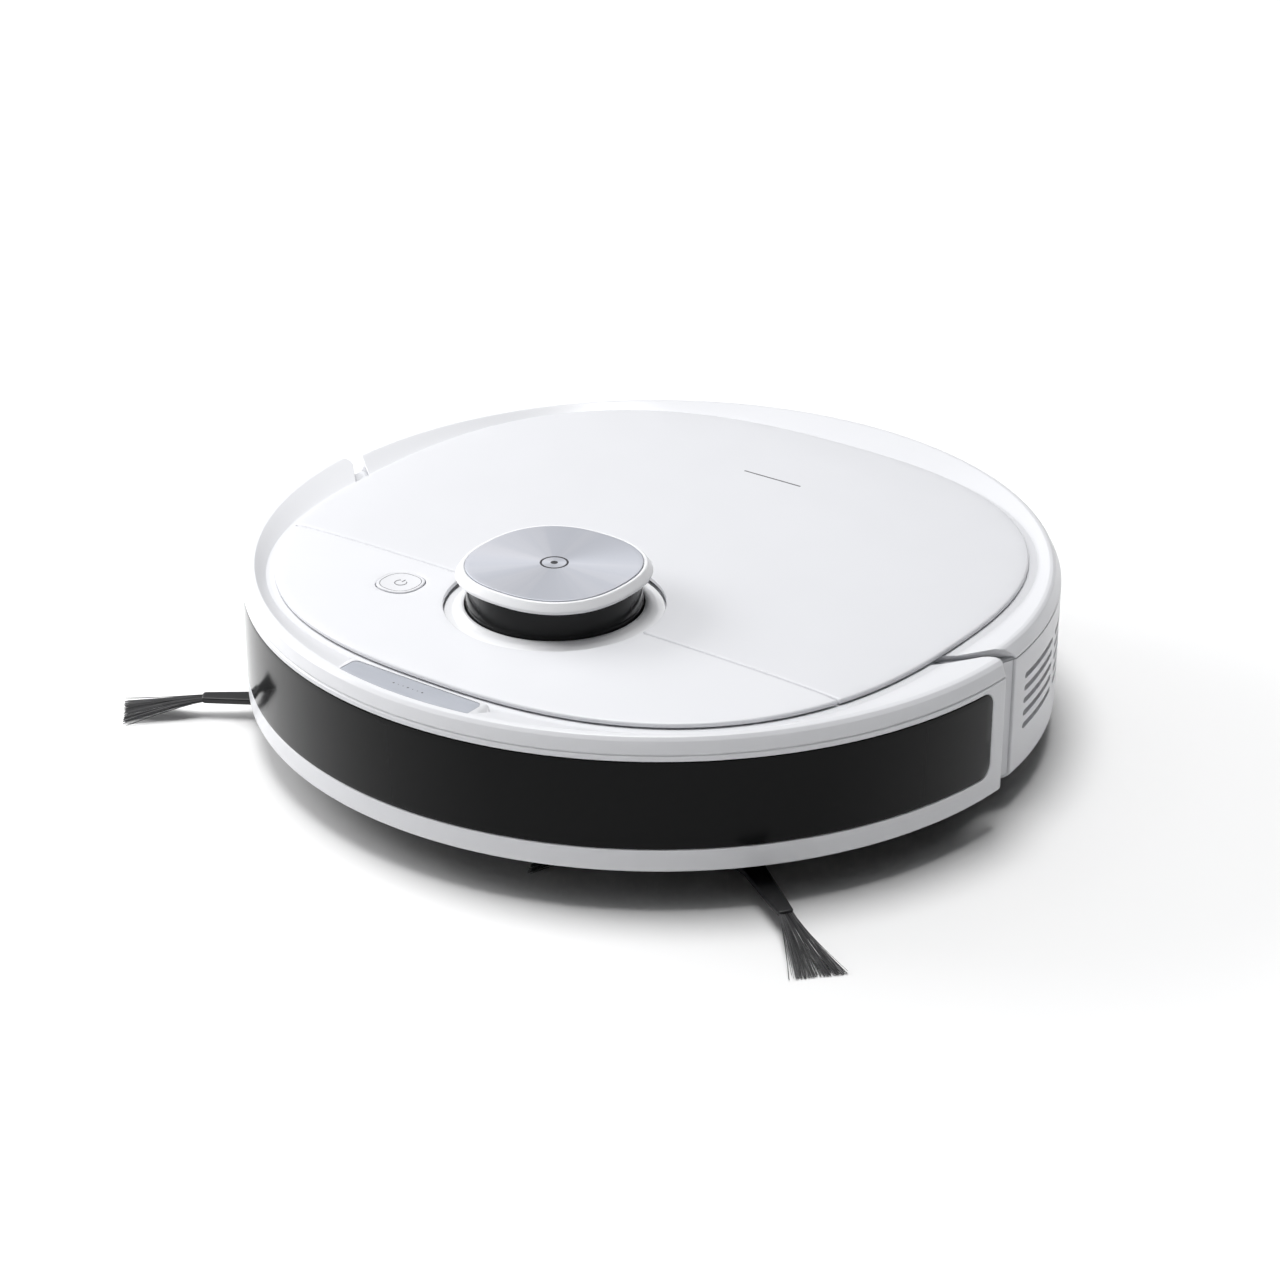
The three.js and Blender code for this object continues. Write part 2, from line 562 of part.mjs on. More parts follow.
function coverScrew() {
  const head = rodZ(SCREW.x, SCREW.y, SCREW.radius, PAN.bottom + 0.2, PAN.top - 0.4);
  const slot = (w, l) => box(SCREW.x - w, SCREW.x + w, SCREW.y - l, SCREW.y + l, 0, PAN.bottom + 1);
  return cut(head, slot(0.4, 1.8), slot(1.8, 0.4));
}

function batteryPack() {
  const { halfWidth, front, back, top } = BATTERY;
  const cells = [];
  const radius = (back - front) / 6;
  for (let row = 0; row < 3; row += 1) {
    const y = front + radius * (2 * row + 1);
    cells.push(rodX(y, PAN.top + radius + 0.6, radius + 0.5, -halfWidth, halfWidth, SMALL));
  }
  const tray = box(-halfWidth, halfWidth, front + 1, back - 1, PAN.top + 1, PAN.top + 6);
  const lug = box(-8, 8, back - 6, back - 1, PAN.top + 5, top - 8);
  return join(tray, ...cells, lug);
}

function mainBoard() {
  const { halfWidth, front, back, bottom, top, chipTop, footX } = BOARD;
  const board = box(-halfWidth, halfWidth, front, back, bottom, top);
  const chips = CHIPS.map(([x, y, width, length]) => box(x, x + width, y, y + length, top - 0.1, chipTop));
  const feet = [-footX, footX].map((x) => rodZ(x, BRUSH.y, 2, bottom - 3.4, bottom + 0.1, SMALL));
  return join(board, ...chips, ...feet);
}

function fanHousing() {
  const { radius, bottom, top, wall, inlet, boss, bossTop } = FAN;
  const shell = lathe([
    [0, bottom], [radius, bottom], [radius, top], [inlet, top], [inlet, top - wall],
    [radius - wall, top - wall], [radius - wall, bottom + wall], [boss, bottom + wall],
    [boss, bossTop], [0, bossTop],
  ], MEDIUM);
  const { half, bottom: outletBottom, top: outletTop } = FAN_OUTLET;
  const outlet = box(radius - 8, radius + 1, -half, half, outletBottom, outletTop);
  return cut(shell, outlet).translate(FAN.x, FAN.y, 0);
}

function fanImpeller() {
  const { radius, hub, bottom, disc, top, blades } = IMPELLER;
  const parts = [rodZ(0, 0, hub, bottom, top), rodZ(0, 0, radius, disc, disc + 1.4, MEDIUM)];
  for (let i = 0; i < blades; i += 1) {
    const turn = (i / blades) * 2 * Math.PI;
    parts.push(box(hub - 1, radius - 1, -0.6, 0.6, disc + 1, top).rotateZ(turn));
  }
  return join(...parts).translate(FAN.x, FAN.y, 0);
}

// ---------- main brush and its gear train ----------

function brushFrame() {
  const { y, z, journal } = BRUSH;
  const { radius, wall, flangeHalf, flangeFront, flangeBack } = TUNNEL;
  const outer = radius + wall;
  const end = BRUSH_WELL.half + GAP;
  const inner = end - TUNNEL.end;
  const drum = cut(rodX(y, z, outer, -end, end, MEDIUM), rodX(y, z, radius, -inner, inner, MEDIUM));
  const flange = (from, to) => box(-flangeHalf, flangeHalf, from, to, PAN.top + GAP, PAN.top + 2.3);
  const flanges = [flange(flangeFront, y - radius), flange(y + radius, flangeBack)];
  const housing = join(drum, ...flanges);
  const mouth = box(-44, 44, y + 14, 44, 24.5, 36);
  const below = box(-FAR, FAR, -FAR, FAR, -FAR, PAN.bottom + 0.2);
  const bore = rodX(y, z, journal + GAP, -FAR, FAR);
  const drop = box(-FAR, FAR, y - radius + 2, y + radius - 2, 0, z - 6);
  const inside = common(drop, box(-inner, inner, -FAR, FAR, 0, FAR));
  return cut(housing, mouth, below, bore, inside);
}

function brushGuard() {
  const { left, right, front, back, openHalf, openReach, tabX } = GUARD;
  const [bottom, top] = [PAN.bottom - 1.7, PAN.bottom - GAP];
  const plate = box(left, right, front, back, bottom, top);
  const opening = box(-openHalf, openHalf, BRUSH.y - openReach, BRUSH.y + openReach, 0, FAR);
  const tab = (x) => box(x - 6, x + 6, back - 1, back + 3, bottom, top);
  return cut(join(plate, tab(-tabX), tab(tabX)), opening);
}

function brushRoller() {
  const { y, z, core, journal, half } = BRUSH;
  const body = rodX(y, z, core, -half - 1, half + 1, SMALL);
  return join(body, rodX(y, z, journal, GEAR.from, BRUSH_WELL.half, SMALL));
}

// Five blades round a sleeve, swept back from the middle in a shallow V.
function brushBristles() {
  const { y, z, core, fins, half, count, sweep } = BRUSH;
  const shape = new THREE.Shape();
  const sleeve = core + 1.9;
  const blade = [ // distance from the axis, and angle in radians
    [sleeve, -0.5], [sleeve, -0.13], [fins, -0.06], [fins, 0.06], [sleeve, 0.13], [sleeve, 0.38],
  ];
  for (let i = 0; i < count; i += 1) {
    const at = (i / count) * 2 * Math.PI;
    blade.forEach(([radius, offset], k) => {
      const angle = at + offset;
      const method = i === 0 && k === 0 ? 'moveTo' : 'lineTo';
      shape[method](radius * Math.cos(angle), radius * Math.sin(angle));
    });
  }
  const hole = new THREE.Path();
  hole.absarc(0, 0, core + 0.8, 0, 2 * Math.PI, true);
  shape.holes.push(hole);
  const options = { depth: 2 * half, steps: 6, bevelEnabled: false, curveSegments: 10 };
  const blades = new THREE.ExtrudeGeometry(shape, options).translate(0, 0, -half);
  const position = blades.attributes.position;
  for (let i = 0; i < position.count; i += 1) {
    const turn = (Math.abs(position.getZ(i)) / half) * radians(sweep);
    const point = new THREE.Vector2(position.getX(i), position.getY(i));
    point.rotateAround(new THREE.Vector2(), turn);
    position.setXY(i, point.x, point.y);
  }
  return blades.rotateY(Math.PI / 2).translate(0, y, z);
}

// Centre of the next gear along the train, up a slope from the last one.
function nextCentre(centre, teeth, nextTeeth) {
  const distance = (GEAR.module * (teeth + nextTeeth)) / 2 + GEAR.slack;
  const slope = radians(GEAR.climb);
  return { y: centre.y + distance * Math.cos(slope), z: centre.z + distance * Math.sin(slope) };
}

const BRUSH_CENTRE = { y: BRUSH.y, z: BRUSH.z };
const IDLER_CENTRE = nextCentre(BRUSH_CENTRE, BRUSH_TEETH, IDLER_TEETH);
const PINION_CENTRE = nextCentre(IDLER_CENTRE, IDLER_TEETH, PINION_TEETH);

// Angle of one tooth of the next gear, so that a space of it meets a tooth of the last gear.
function nextPhase(phase, teeth, nextTeeth) {
  const slope = radians(GEAR.climb);
  const pitch = (2 * Math.PI) / teeth;
  const nearest = phase + Math.round((slope - phase) / pitch) * pitch;
  const offset = slope - nearest;
  const space = slope + Math.PI + (offset * teeth) / nextTeeth;
  return space + Math.PI / nextTeeth;
}

const BRUSH_PHASE = radians(GEAR.climb);
const IDLER_PHASE = nextPhase(BRUSH_PHASE, BRUSH_TEETH, IDLER_TEETH);
const PINION_PHASE = nextPhase(IDLER_PHASE, IDLER_TEETH, PINION_TEETH);

function gear(teeth, centre, phase, bore) {
  const pitchRadius = (GEAR.module * teeth) / 2;
  const tip = pitchRadius + GEAR.module * 0.75;
  const root = pitchRadius - GEAR.module * 1.25;
  const pitch = (2 * Math.PI) / teeth;
  const tooth = [[root, -0.25], [tip, -0.12], [tip, 0.12], [root, 0.25]];
  const points = [];
  for (let i = 0; i < teeth; i += 1) {
    for (const [radius, share] of tooth) {
      const angle = phase + (i + share) * pitch;
      points.push([centre.y + radius * Math.cos(angle), centre.z + radius * Math.sin(angle)]);
    }
  }
  const wheel = prismX(polygon(points), GEAR.from, GEAR.to);
  return bore ? cut(wheel, rodX(centre.y, centre.z, bore, -FAR, FAR)) : wheel;
}

function motorPinion() {
  const shaft = rodX(PINION_CENTRE.y, PINION_CENTRE.z, 1.5, GEAR.from - 4, GEAR.from + 1, 12);
  return join(gear(PINION_TEETH, PINION_CENTRE, PINION_PHASE, 0), shaft);
}

const GEAR_CASE = { back: -97, open: -84.7, wall: 1.4, air: 0.8, axle: 2 };

function gearCase() {
  const { back, open, wall, air, axle } = GEAR_CASE;
  const tipOf = (teeth) => (GEAR.module * teeth) / 2 + GEAR.module * 0.75 + air;
  const wheels = [[BRUSH_CENTRE, BRUSH_TEETH], [IDLER_CENTRE, IDLER_TEETH], [PINION_CENTRE, PINION_TEETH]];
  const rounds = (extra, from, to) =>
    wheels.map(([at, teeth]) => rodX(at.y, at.z, tipOf(teeth) + extra, from, to, MEDIUM));
  const outside = join(...rounds(wall, back, open));
  const inside = join(...rounds(0, back + wall, open + 1));
  const below = box(-FAR, FAR, -FAR, FAR, -FAR, PAN.bottom + 0.2);
  const pinionRun = rodX(PINION_CENTRE.y, PINION_CENTRE.z, 2, -FAR, FAR, 16);
  const shell = cut(outside, inside, below, pinionRun);
  return join(shell, rodX(IDLER_CENTRE.y, IDLER_CENTRE.z, axle, back + 0.5, GEAR.to + 1, 16));
}

function brushMotor() {
  const { y, z } = PINION_CENTRE;
  const can = rodX(y, z, 10.5, -124, GEAR_CASE.back - 2, MEDIUM);
  const nose = cut(rodX(y, z, 4.5, -100, GEAR_CASE.back - GAP), rodX(y, z, 2, -FAR, FAR, 16));
  const shaftRoom = rodX(y, z, 2, -101, 0, 16);
  return cut(join(can, nose), shaftRoom);
}

// ---------- wheels ----------

function swingArm() {
  const plate = new THREE.Shape();
  const [reach, lift] = [WHEEL.y - ARM.y, WHEEL.z - ARM.z];
  const heading = Math.atan2(lift, reach);
  plate.absarc(ARM.y, ARM.z, 9, heading + Math.PI / 2, heading - Math.PI / 2, false);
  plate.absarc(WHEEL.y, WHEEL.z, 8, heading - Math.PI / 2, heading + Math.PI / 2, false);
  const web = prismX(plate, ARM.inner, ARM.outer);
  const motor = rodX(ARM.y, ARM.z, ARM.motor, ARM.motorFrom, ARM.inner + 0.2, MEDIUM);
  const innerStub = rodX(ARM.y, ARM.z, ARM.stub, ARM_POSTS[0][0], ARM.motorFrom + 0.2);
  const outerStub = rodX(ARM.y, ARM.z, ARM.stub, ARM.outer - 0.2, ARM_POSTS[1][1]);
  const axle = rodX(WHEEL.y, WHEEL.z, WHEEL.axle, ARM.outer - 0.2, WHEEL.x + 9);
  return join(web, motor, innerStub, outerStub, axle);
}

function wheelHub() {
  const { x, y, z, rim, axle } = WHEEL;
  const profile = [
    [axle + GAP, x - 10], [rim - GAP, x - 10], [rim - GAP, x + 10], [rim - 4, x + 10],
    [rim - 7, x + 6], [9, x + 6], [7, x + 9.5], [axle + GAP, x + 9.5],
  ];
  return latheX(profile, y, z);
}

function tyre() {
  const { x, y, z, radius, width, rim } = WHEEL;
  const half = width / 2;
  const profile = [
    [rim, x - half], [radius - 1.2, x - half], [radius, x - half + 1.2], [radius, x + half - 1.2],
    [radius - 1.2, x + half], [rim, x + half],
  ];
  return latheX(profile, y, z);
}

function wheelSpring() {
  class Helix extends THREE.Curve {
    getPoint(t, target = new THREE.Vector3()) {
      const angle = t * SPRING.turns * 2 * Math.PI;
      const x = THREE.MathUtils.lerp(SPRING.from + SPRING.wire, SPRING.to - SPRING.wire, t);
      const y = ARM.y + SPRING.radius * Math.cos(angle);
      return target.set(x, y, ARM.z + SPRING.radius * Math.sin(angle));
    }
  }
  const r = SPRING.wire / 2;
  const wire = polygon([[r, 0], [0, r], [-r, 0], [0, -r]]);
  const options = { extrudePath: new Helix(), steps: SPRING.turns * 8, bevelEnabled: false };
  return new THREE.ExtrudeGeometry(wire, options);
}

const FORK = { inner: 7.7, outer: 9.4, half: 4, crown: 26.5, crownRadius: 13, stemTop: 40, axle: 1.5 };

function casterFork() {
  const { inner, outer, half, crownRadius, stemTop } = FORK;
  const wheelY = CASTER.y + CASTER.trail;
  const arm = (from, to) => join(
    box(from, to, wheelY - half, wheelY + half, CASTER.wheel, FORK.crown + 1),
    rodX(wheelY, CASTER.wheel, half, from, to, 16),
  );
  const crown = rodZ(0, CASTER.y, crownRadius, FORK.crown, FORK.crown + 2, MEDIUM);
  const stem = rodZ(0, CASTER.y, CASTER.stem, FORK.crown + 1, stemTop);
  const axle = rodX(wheelY, CASTER.wheel, FORK.axle, -outer, outer, 12);
  return join(crown, stem, axle, arm(inner, outer), arm(-outer, -inner));
}

function casterWheel() {
  const half = CASTER.width / 2;
  const r = CASTER.wheel;
  const bore = FORK.axle + GAP;
  const profile = [
    [bore, -half], [r - 2, -half], [r - 0.4, 2 - half], [r, 0], [r - 0.4, half - 2],
    [r - 2, half], [bore, half],
  ];
  return latheX(profile, CASTER.y + CASTER.trail, r);
}

// ---------- side brushes ----------

function sideBrush() {
  const { hubBottom, hubTop, armBottom, armTop, shaftTop } = SIDE_Z;
  const hub = rodZ(0, 0, SIDE.hub, hubBottom, hubTop, MEDIUM);
  const shaft = rodZ(0, 0, SIDE.shaft, hubTop - 0.5, shaftTop);
  const end = SIDE.armReach;
  const outline = polygon([[4, -5.5], [end - 4, -3.6], [end, 0], [end - 4, 3.6], [4, 5.5]]);
  const arms = [];
  for (let i = 0; i < SIDE.arms; i += 1) {
    arms.push(prism(outline, armBottom, armTop).rotateZ(radians(SIDE.heading + (i * 360) / SIDE.arms)));
  }
  return join(hub, shaft, ...arms).translate(SIDE.x, SIDE.y, 0);
}

// One fan of bristles, from the arm's end down to the floor.
function bristleFan(number) {
  const root = { at: SIDE.armReach + GAP, half: 3, bottom: 7, top: 8.8 };
  const tip = { at: SIDE.reach, half: 13, bottom: 0.4, top: 1.6 };
  const fan = new THREE.BoxGeometry(1, 1, 1);
  const position = fan.attributes.position;
  for (let i = 0; i < position.count; i += 1) {
    const end = position.getX(i) > 0 ? tip : root;
    const y = Math.sign(position.getY(i)) * end.half;
    position.setXYZ(i, end.at, y, position.getZ(i) > 0 ? end.top : end.bottom);
  }
  const turn = radians(SIDE.heading + ((number - 1) * 360) / SIDE.arms);
  return fan.rotateZ(turn).translate(SIDE.x, SIDE.y, 0);
}

function sideMotor() {
  const { can, head, headBottom, canBottom, canTop } = SIDE_MOTOR;
  const motor = rodZ(SIDE.x, SIDE.y, can, canBottom, canTop, MEDIUM);
  const gearHead = rodZ(SIDE.x, SIDE.y, head, headBottom, canBottom + 0.5, MEDIUM);
  return join(motor, gearHead);
}

// ---------- dust bin ----------

function dustBin() {
  const { halfWidth, front, back, bottom, top, wall } = BIN;
  const outside = box(-halfWidth, halfWidth, front, back, bottom, top);
  const inside = box(-halfWidth + wall, halfWidth - wall, front + wall, back - wall, bottom + wall, FAR);
  const opening = ({ half, bottom: low, top: high }, from, to) => box(-half, half, from, to, low, high);
  const mouth = opening(BIN_MOUTH, front - 1, front + wall + 1);
  const outlet = opening(BIN_OUTLET, back - wall - 1, back + 1);
  const [near, far] = [HANDLE.y - BIN_EAR.half, HANDLE.y + BIN_EAR.half];
  const ear = (from, to) => box(from, to, near, far, top - 4, HANDLE.z + 2.8);
  const ears = [ear(BIN_EAR.inner, BIN_EAR.outer), ear(-BIN_EAR.outer, -BIN_EAR.inner)];
  const pinBore = rodX(HANDLE.y, HANDLE.z, HANDLE.pin + GAP, -FAR, FAR, 16);
  return cut(join(cut(outside, inside), ...ears), mouth, outlet, pinBore);
}

function binFilter() {
  const { margin, thick, grooveHalf, grooves, pitch } = FILTER;
  const { half, bottom, top } = BIN_OUTLET;
  const back = BIN.back - margin;
  const frame = box(margin - half, half - margin, back - thick, back, bottom + margin, top - margin);
  const cuts = [];
  for (let i = -grooves; i <= grooves; i += 1) {
    const x = i * pitch;
    cuts.push(box(x - grooveHalf, x + grooveHalf, back - 1.6, FAR, bottom + 3, top - 3));
  }
  return cut(frame, ...cuts);
}

function binHandle() {
  const { y, z, inner, outer, reach, thick, pin } = HANDLE;
  const [low, high] = [z - thick / 2, z + thick / 2];
  const arm = (from, to) => box(from, to, y - 2, y + reach, low, high);
  const grip = box(-outer, outer, y + reach - 6, y + reach, low, high);
  const pins = [rodX(y, z, pin, outer - 0.5, 66, 12), rodX(y, z, pin, -66, 0.5 - outer, 12)];
  return join(arm(inner, outer), arm(-outer, -inner), grip, ...pins);
}

// ---------- assembly ----------

const robot = new THREE.Group();

function add(name, geometry, color, roughness, metalness = 0) {
  const mesh = new THREE.Mesh(geometry, new THREE.MeshStandardMaterial({ color, roughness, metalness }));
  mesh.name = name;
  robot.add(mesh);
}

function addPair(name, geometry, color, roughness, metalness = 0) {
  add(`${name}_left`, mirrored(geometry), color, roughness, metalness);
  add(`${name}_right`, geometry, color, roughness, metalness);
}

function addShells() {
  add('bumper_shell', bumperShell(), COLOUR.white, 0.35);
  add('bumper_window', bumperWindow(), COLOUR.glass, 0.08);
  add('bumper_label', bumperLabel(), COLOUR.label, 0.3, 0.6);
  add('rear_wall', rearWall(), COLOUR.white, 0.35);
  add('upper_housing', upperHousing(), COLOUR.white, 0.35);
  add('lid', lid(), COLOUR.shade, 0.3);
  addPair('hinge_pin', hingePin(), COLOUR.steel, 0.3, 1);
  add('front_cover', frontCover(), COLOUR.white, 0.3);
  add('power_button', powerButton(), COLOUR.white, 0.35);
  add('base_pan', basePan(), COLOUR.black, 0.6);
}

function addTurret() {
  add('turret_well', turretWell(), COLOUR.white, 0.4);
  add('turret_window', turretWindow(), COLOUR.glass, 0.08);
  add('turret_cap', turretCap(), COLOUR.white, 0.35);
  add('cap_plate', capPlate(), COLOUR.silver, 0.25, 0.9);
  add('lds_base', lidarBase(), COLOUR.black, 0.6);
  add('lds_rotor', lidarRotor(), COLOUR.smoke, 0.5);
}

function addPower() {
  add('battery_pack', batteryPack(), COLOUR.blue, 0.5);
  add('battery_cover', batteryCover(), COLOUR.black, 0.6);
  addPair('cover_screw', coverScrew(), COLOUR.steel, 0.3, 1);
  add('main_board', mainBoard(), COLOUR.green, 0.5);
  addPair('charge_contact', pad(CONTACT), COLOUR.steel, 0.25, 1);
  addPair('cliff_window', pad(CLIFF), COLOUR.glass, 0.1);
}

function addDustPath() {
  add('dust_bin', dustBin(), COLOUR.smoke, 0.3);
  add('bin_filter', binFilter(), COLOUR.shade, 0.9);
  add('bin_handle', binHandle(), COLOUR.grey, 0.5);
  add('fan_housing', fanHousing(), COLOUR.black, 0.6);
  add('fan_impeller', fanImpeller(), COLOUR.shade, 0.5);
}

function addMainBrush() {
  add('brush_frame', brushFrame(), COLOUR.smoke, 0.6);
  add('brush_guard', brushGuard(), COLOUR.grey, 0.5);
  add('brush_roller', brushRoller(), COLOUR.black, 0.5);
  add('brush_bristles', brushBristles(), COLOUR.rubber, 0.8);
  add('brush_gear', gear(BRUSH_TEETH, BRUSH_CENTRE, BRUSH_PHASE, BRUSH.journal + GAP), COLOUR.shade, 0.5);
  add('idler_gear', gear(IDLER_TEETH, IDLER_CENTRE, IDLER_PHASE, GEAR_CASE.axle + GAP), COLOUR.shade, 0.5);
  add('motor_pinion', motorPinion(), COLOUR.steel, 0.3, 1);
  add('gear_case', gearCase(), COLOUR.black, 0.6);
  add('brush_motor', brushMotor(), COLOUR.steel, 0.4, 0.8);
}

function addWheels() {
  addPair('swing_arm', swingArm(), COLOUR.black, 0.6);
  addPair('wheel_hub', wheelHub(), COLOUR.grey, 0.5);
  addPair('tyre', tyre(), COLOUR.rubber, 0.9);
  addPair('wheel_spring', wheelSpring(), COLOUR.steel, 0.3, 1);
  add('caster_fork', casterFork(), COLOUR.grey, 0.5);
  add('caster_wheel', casterWheel(), COLOUR.rubber, 0.7);
}

function addSideBrushes() {
  addPair('side_brush', sideBrush(), COLOUR.black, 0.5);
  addPair('side_motor', sideMotor(), COLOUR.steel, 0.4, 0.8);
  for (let number = 1; number <= SIDE.arms; number += 1) {
    for (const side of ['left', 'right']) {
      add(`bristles_${side}_${number}`, forSide(side, bristleFan(number)), COLOUR.grey, 0.8);
    }
  }
}

addShells();
addTurret();
addPower();
addDustPath();
addMainBrush();
addWheels();
addSideBrushes();
robot.position.y = (BUMPER_RADIUS - BODY_RADIUS) / 2;

export default robot;
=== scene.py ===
"""Looks of a robotic floor cleaner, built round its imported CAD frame.

Shapes are worked out in millimetres (+Z up, -Y the front) round the centre of the round body, and moved into
the frame, in metres, when a mesh is made. Angles round the body start at the front, towards +X.
"""

import json
import math

import bmesh
import bpy
import numpy as np
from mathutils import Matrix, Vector
from mathutils.geometry import delaunay_2d_cdt, tessellate_polygon

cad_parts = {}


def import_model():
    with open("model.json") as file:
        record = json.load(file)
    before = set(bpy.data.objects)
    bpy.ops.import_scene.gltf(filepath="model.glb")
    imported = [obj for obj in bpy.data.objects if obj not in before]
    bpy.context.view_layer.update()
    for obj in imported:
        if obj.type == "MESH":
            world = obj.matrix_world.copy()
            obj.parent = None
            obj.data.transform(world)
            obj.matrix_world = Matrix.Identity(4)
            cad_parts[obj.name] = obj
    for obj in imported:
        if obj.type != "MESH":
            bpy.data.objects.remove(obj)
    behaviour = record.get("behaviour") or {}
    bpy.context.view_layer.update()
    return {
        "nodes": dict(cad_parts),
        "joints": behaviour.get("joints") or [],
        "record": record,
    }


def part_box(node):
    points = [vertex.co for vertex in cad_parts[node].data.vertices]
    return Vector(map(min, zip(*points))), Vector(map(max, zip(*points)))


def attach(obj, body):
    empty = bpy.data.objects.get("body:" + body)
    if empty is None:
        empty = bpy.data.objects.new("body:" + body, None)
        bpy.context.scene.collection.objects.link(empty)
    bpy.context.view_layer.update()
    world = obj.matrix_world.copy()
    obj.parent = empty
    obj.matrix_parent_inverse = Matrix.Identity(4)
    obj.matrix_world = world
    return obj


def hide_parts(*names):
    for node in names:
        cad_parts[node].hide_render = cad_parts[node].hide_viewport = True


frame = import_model()

MM = 0.001
SCENE = bpy.context.scene
BODY_RADIUS = 170.0
BODY_CENTRE = np.array((0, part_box("rear_wall")[1][1] / MM - BODY_RADIUS, 0))


# ---------- places taken from the frame ----------

def node_box(name):
    """Lowest and highest corner of a CAD node, in millimetres from the centre of the round body."""
    low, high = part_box(name)
    return np.array(low) / MM - BODY_CENTRE, np.array(high) / MM - BODY_CENTRE


def node_centre(name):
    low, high = node_box(name)
    return (low + high) / 2


def joint_place(name):
    found = next(j for j in frame["joints"] if j["name"] == name)
    return np.array(found["pos_m"]) / MM - BODY_CENTRE


TURRET_Y = node_centre("turret_cap")[1]
HINGE_Y, HINGE_Z = joint_place("lid_hinge")[1:]
BUMPER_RADIUS = -node_box("bumper_shell")[0][1]
CREST_Z = node_box("bumper_shell")[1][2] - 0.1
BUMPER_BOTTOM = node_box("bumper_shell")[0][2]
SEAM_Z = 68.0

PANEL_HALF_WIDTH = 149.5
PANEL_FRONT = 151.7
PANEL_BACK = 142.0
PANEL_POWER = 2.5
PANEL_EDGE_Z = 74.4
PANEL_DOME = 1.8
PANEL_THICK = 1.8
DOME_POWER = 6
PANEL_NOMINAL = 150.0
LEDGE_NOMINAL = 154.0
LEDGE_WIDTH = 3.6
LEDGE_Z = 72.0
BUMPER_CREST = BUMPER_RADIUS - 5.4
REAR_CREST = BODY_RADIUS - 5.2
COVER_BACK = node_box("front_cover")[1][1]
TURRET_HOLE = 45.4
SQUIRCLE_POWER = 2.38
VENT_ROWS = (56, 50.4, 44.8, 39.1, 33.3)
VENT_COLUMNS = ((96.5, 109), (111, 123.5))  # degrees from the front
BUMPER_END = [(0, -36), (135, -36), (165, -6), (400, -6)]  # parting lines in plan
REAR_END = [(0, -20.7), (138, -20.7), (150, -11.5), (166.3, 1), (170.6, 11), (400, 11)]


def panel_radius(angle):
    """Distance from the centre to the top panel's edge, in the direction of an angle."""
    across = np.abs(np.sin(angle)) / PANEL_HALF_WIDTH
    depth = np.where(np.cos(angle) > 0, PANEL_FRONT, PANEL_BACK)
    along = np.abs(np.cos(angle)) / depth
    return (across ** PANEL_POWER + along ** PANEL_POWER) ** (-1 / PANEL_POWER)


def rim_radius(radius, angle, crest):
    """Turns a radius drawn for a round panel into one that follows the real panel's outline."""
    edge = panel_radius(angle)
    if radius >= crest:
        return radius + 0 * edge
    if radius <= LEDGE_NOMINAL:
        return edge + (radius - PANEL_NOMINAL) * LEDGE_WIDTH / (LEDGE_NOMINAL - PANEL_NOMINAL)
    ledge = edge + LEDGE_WIDTH
    return ledge + (radius - LEDGE_NOMINAL) * (crest - ledge) / (crest - LEDGE_NOMINAL)


def panel_top(points):
    """Height of the domed top panel at plan points."""
    radius = np.hypot(points[:, 0], points[:, 1])
    angle = np.arctan2(points[:, 0], -points[:, 1])
    share = np.minimum(radius / panel_radius(angle), 1.0)
    return PANEL_EDGE_Z + PANEL_DOME * (1 - share ** DOME_POWER)


# ---------- mesh building ----------

def polar(radius, angle, *more):
    """Plan points at a radius and an angle round the body, with any further columns, such as heights."""
    return np.stack(np.broadcast_arrays(radius * np.sin(angle), -radius * np.cos(angle), *more), axis=1)


def joined(*shapes):
    """Several (points, faces) shapes as one."""
    points, faces, start = [], [], 0
    for shape_points, shape_faces in shapes:
        points.append(np.asarray(shape_points, float))
        faces.extend([tuple(i + start for i in face) for face in shape_faces])
        start += len(shape_points)
    return np.concatenate(points), faces


def moved(shape, x, y=0.0):
    return shape[0] + np.array((x, y, 0)), shape[1]


def mirrored(shape):
    return shape[0] * np.array((-1, 1, 1)), shape[1]


def turned(shape, degrees):
    """The shape turned round the vertical axis through the origin."""
    a = math.radians(degrees)
    turn = np.array(((math.cos(a), math.sin(a), 0), (-math.sin(a), math.cos(a), 0), (0, 0, 1)))
    return shape[0] @ turn, shape[1]


def along_x(shape, y, z):
    """A shape built round the vertical axis, laid over so that its axis runs along X."""
    points = shape[0]
    return np.stack((points[:, 2], points[:, 0] + y, points[:, 1] + z), axis=1), shape[1]


WELD = 2e-6  # metres; closer points are one


def new_object(name, shape, centre=(0, 0, 0)):
    """A mesh object from a shape; centre is its origin, in millimetres in the frame."""
    points, faces = shape
    mesh = bpy.data.meshes.new(name)
    mesh.from_pydata(((np.asarray(points) + BODY_CENTRE - centre) * MM).tolist(), [], faces)
    work = bmesh.new()
    work.from_mesh(mesh)
    bmesh.ops.remove_doubles(work, verts=work.verts, dist=WELD)
    loose = [edge for edge in work.edges if not edge.link_faces]
    bmesh.ops.delete(work, geom=loose, context="EDGES")
    bmesh.ops.recalc_face_normals(work, faces=work.faces)
    work.to_mesh(mesh)
    work.free()
    obj = bpy.data.objects.new(name, mesh)
    obj.location = Vector(centre) * MM
    SCENE.collection.objects.link(obj)
    return obj


def combined(obj, shape, operation):
    """A boolean between a closed object and a closed shape."""
    other = new_object("tool", shape)
    modifier = obj.modifiers.new("combine", "BOOLEAN")
    modifier.operation = operation
    modifier.solver = "MANIFOLD"
    modifier.object = other
    graph = bpy.context.evaluated_depsgraph_get()
    result = bpy.data.meshes.new_from_object(obj.evaluated_get(graph))
    obj.modifiers.clear()
    obj.data = result
    bpy.data.objects.remove(other)


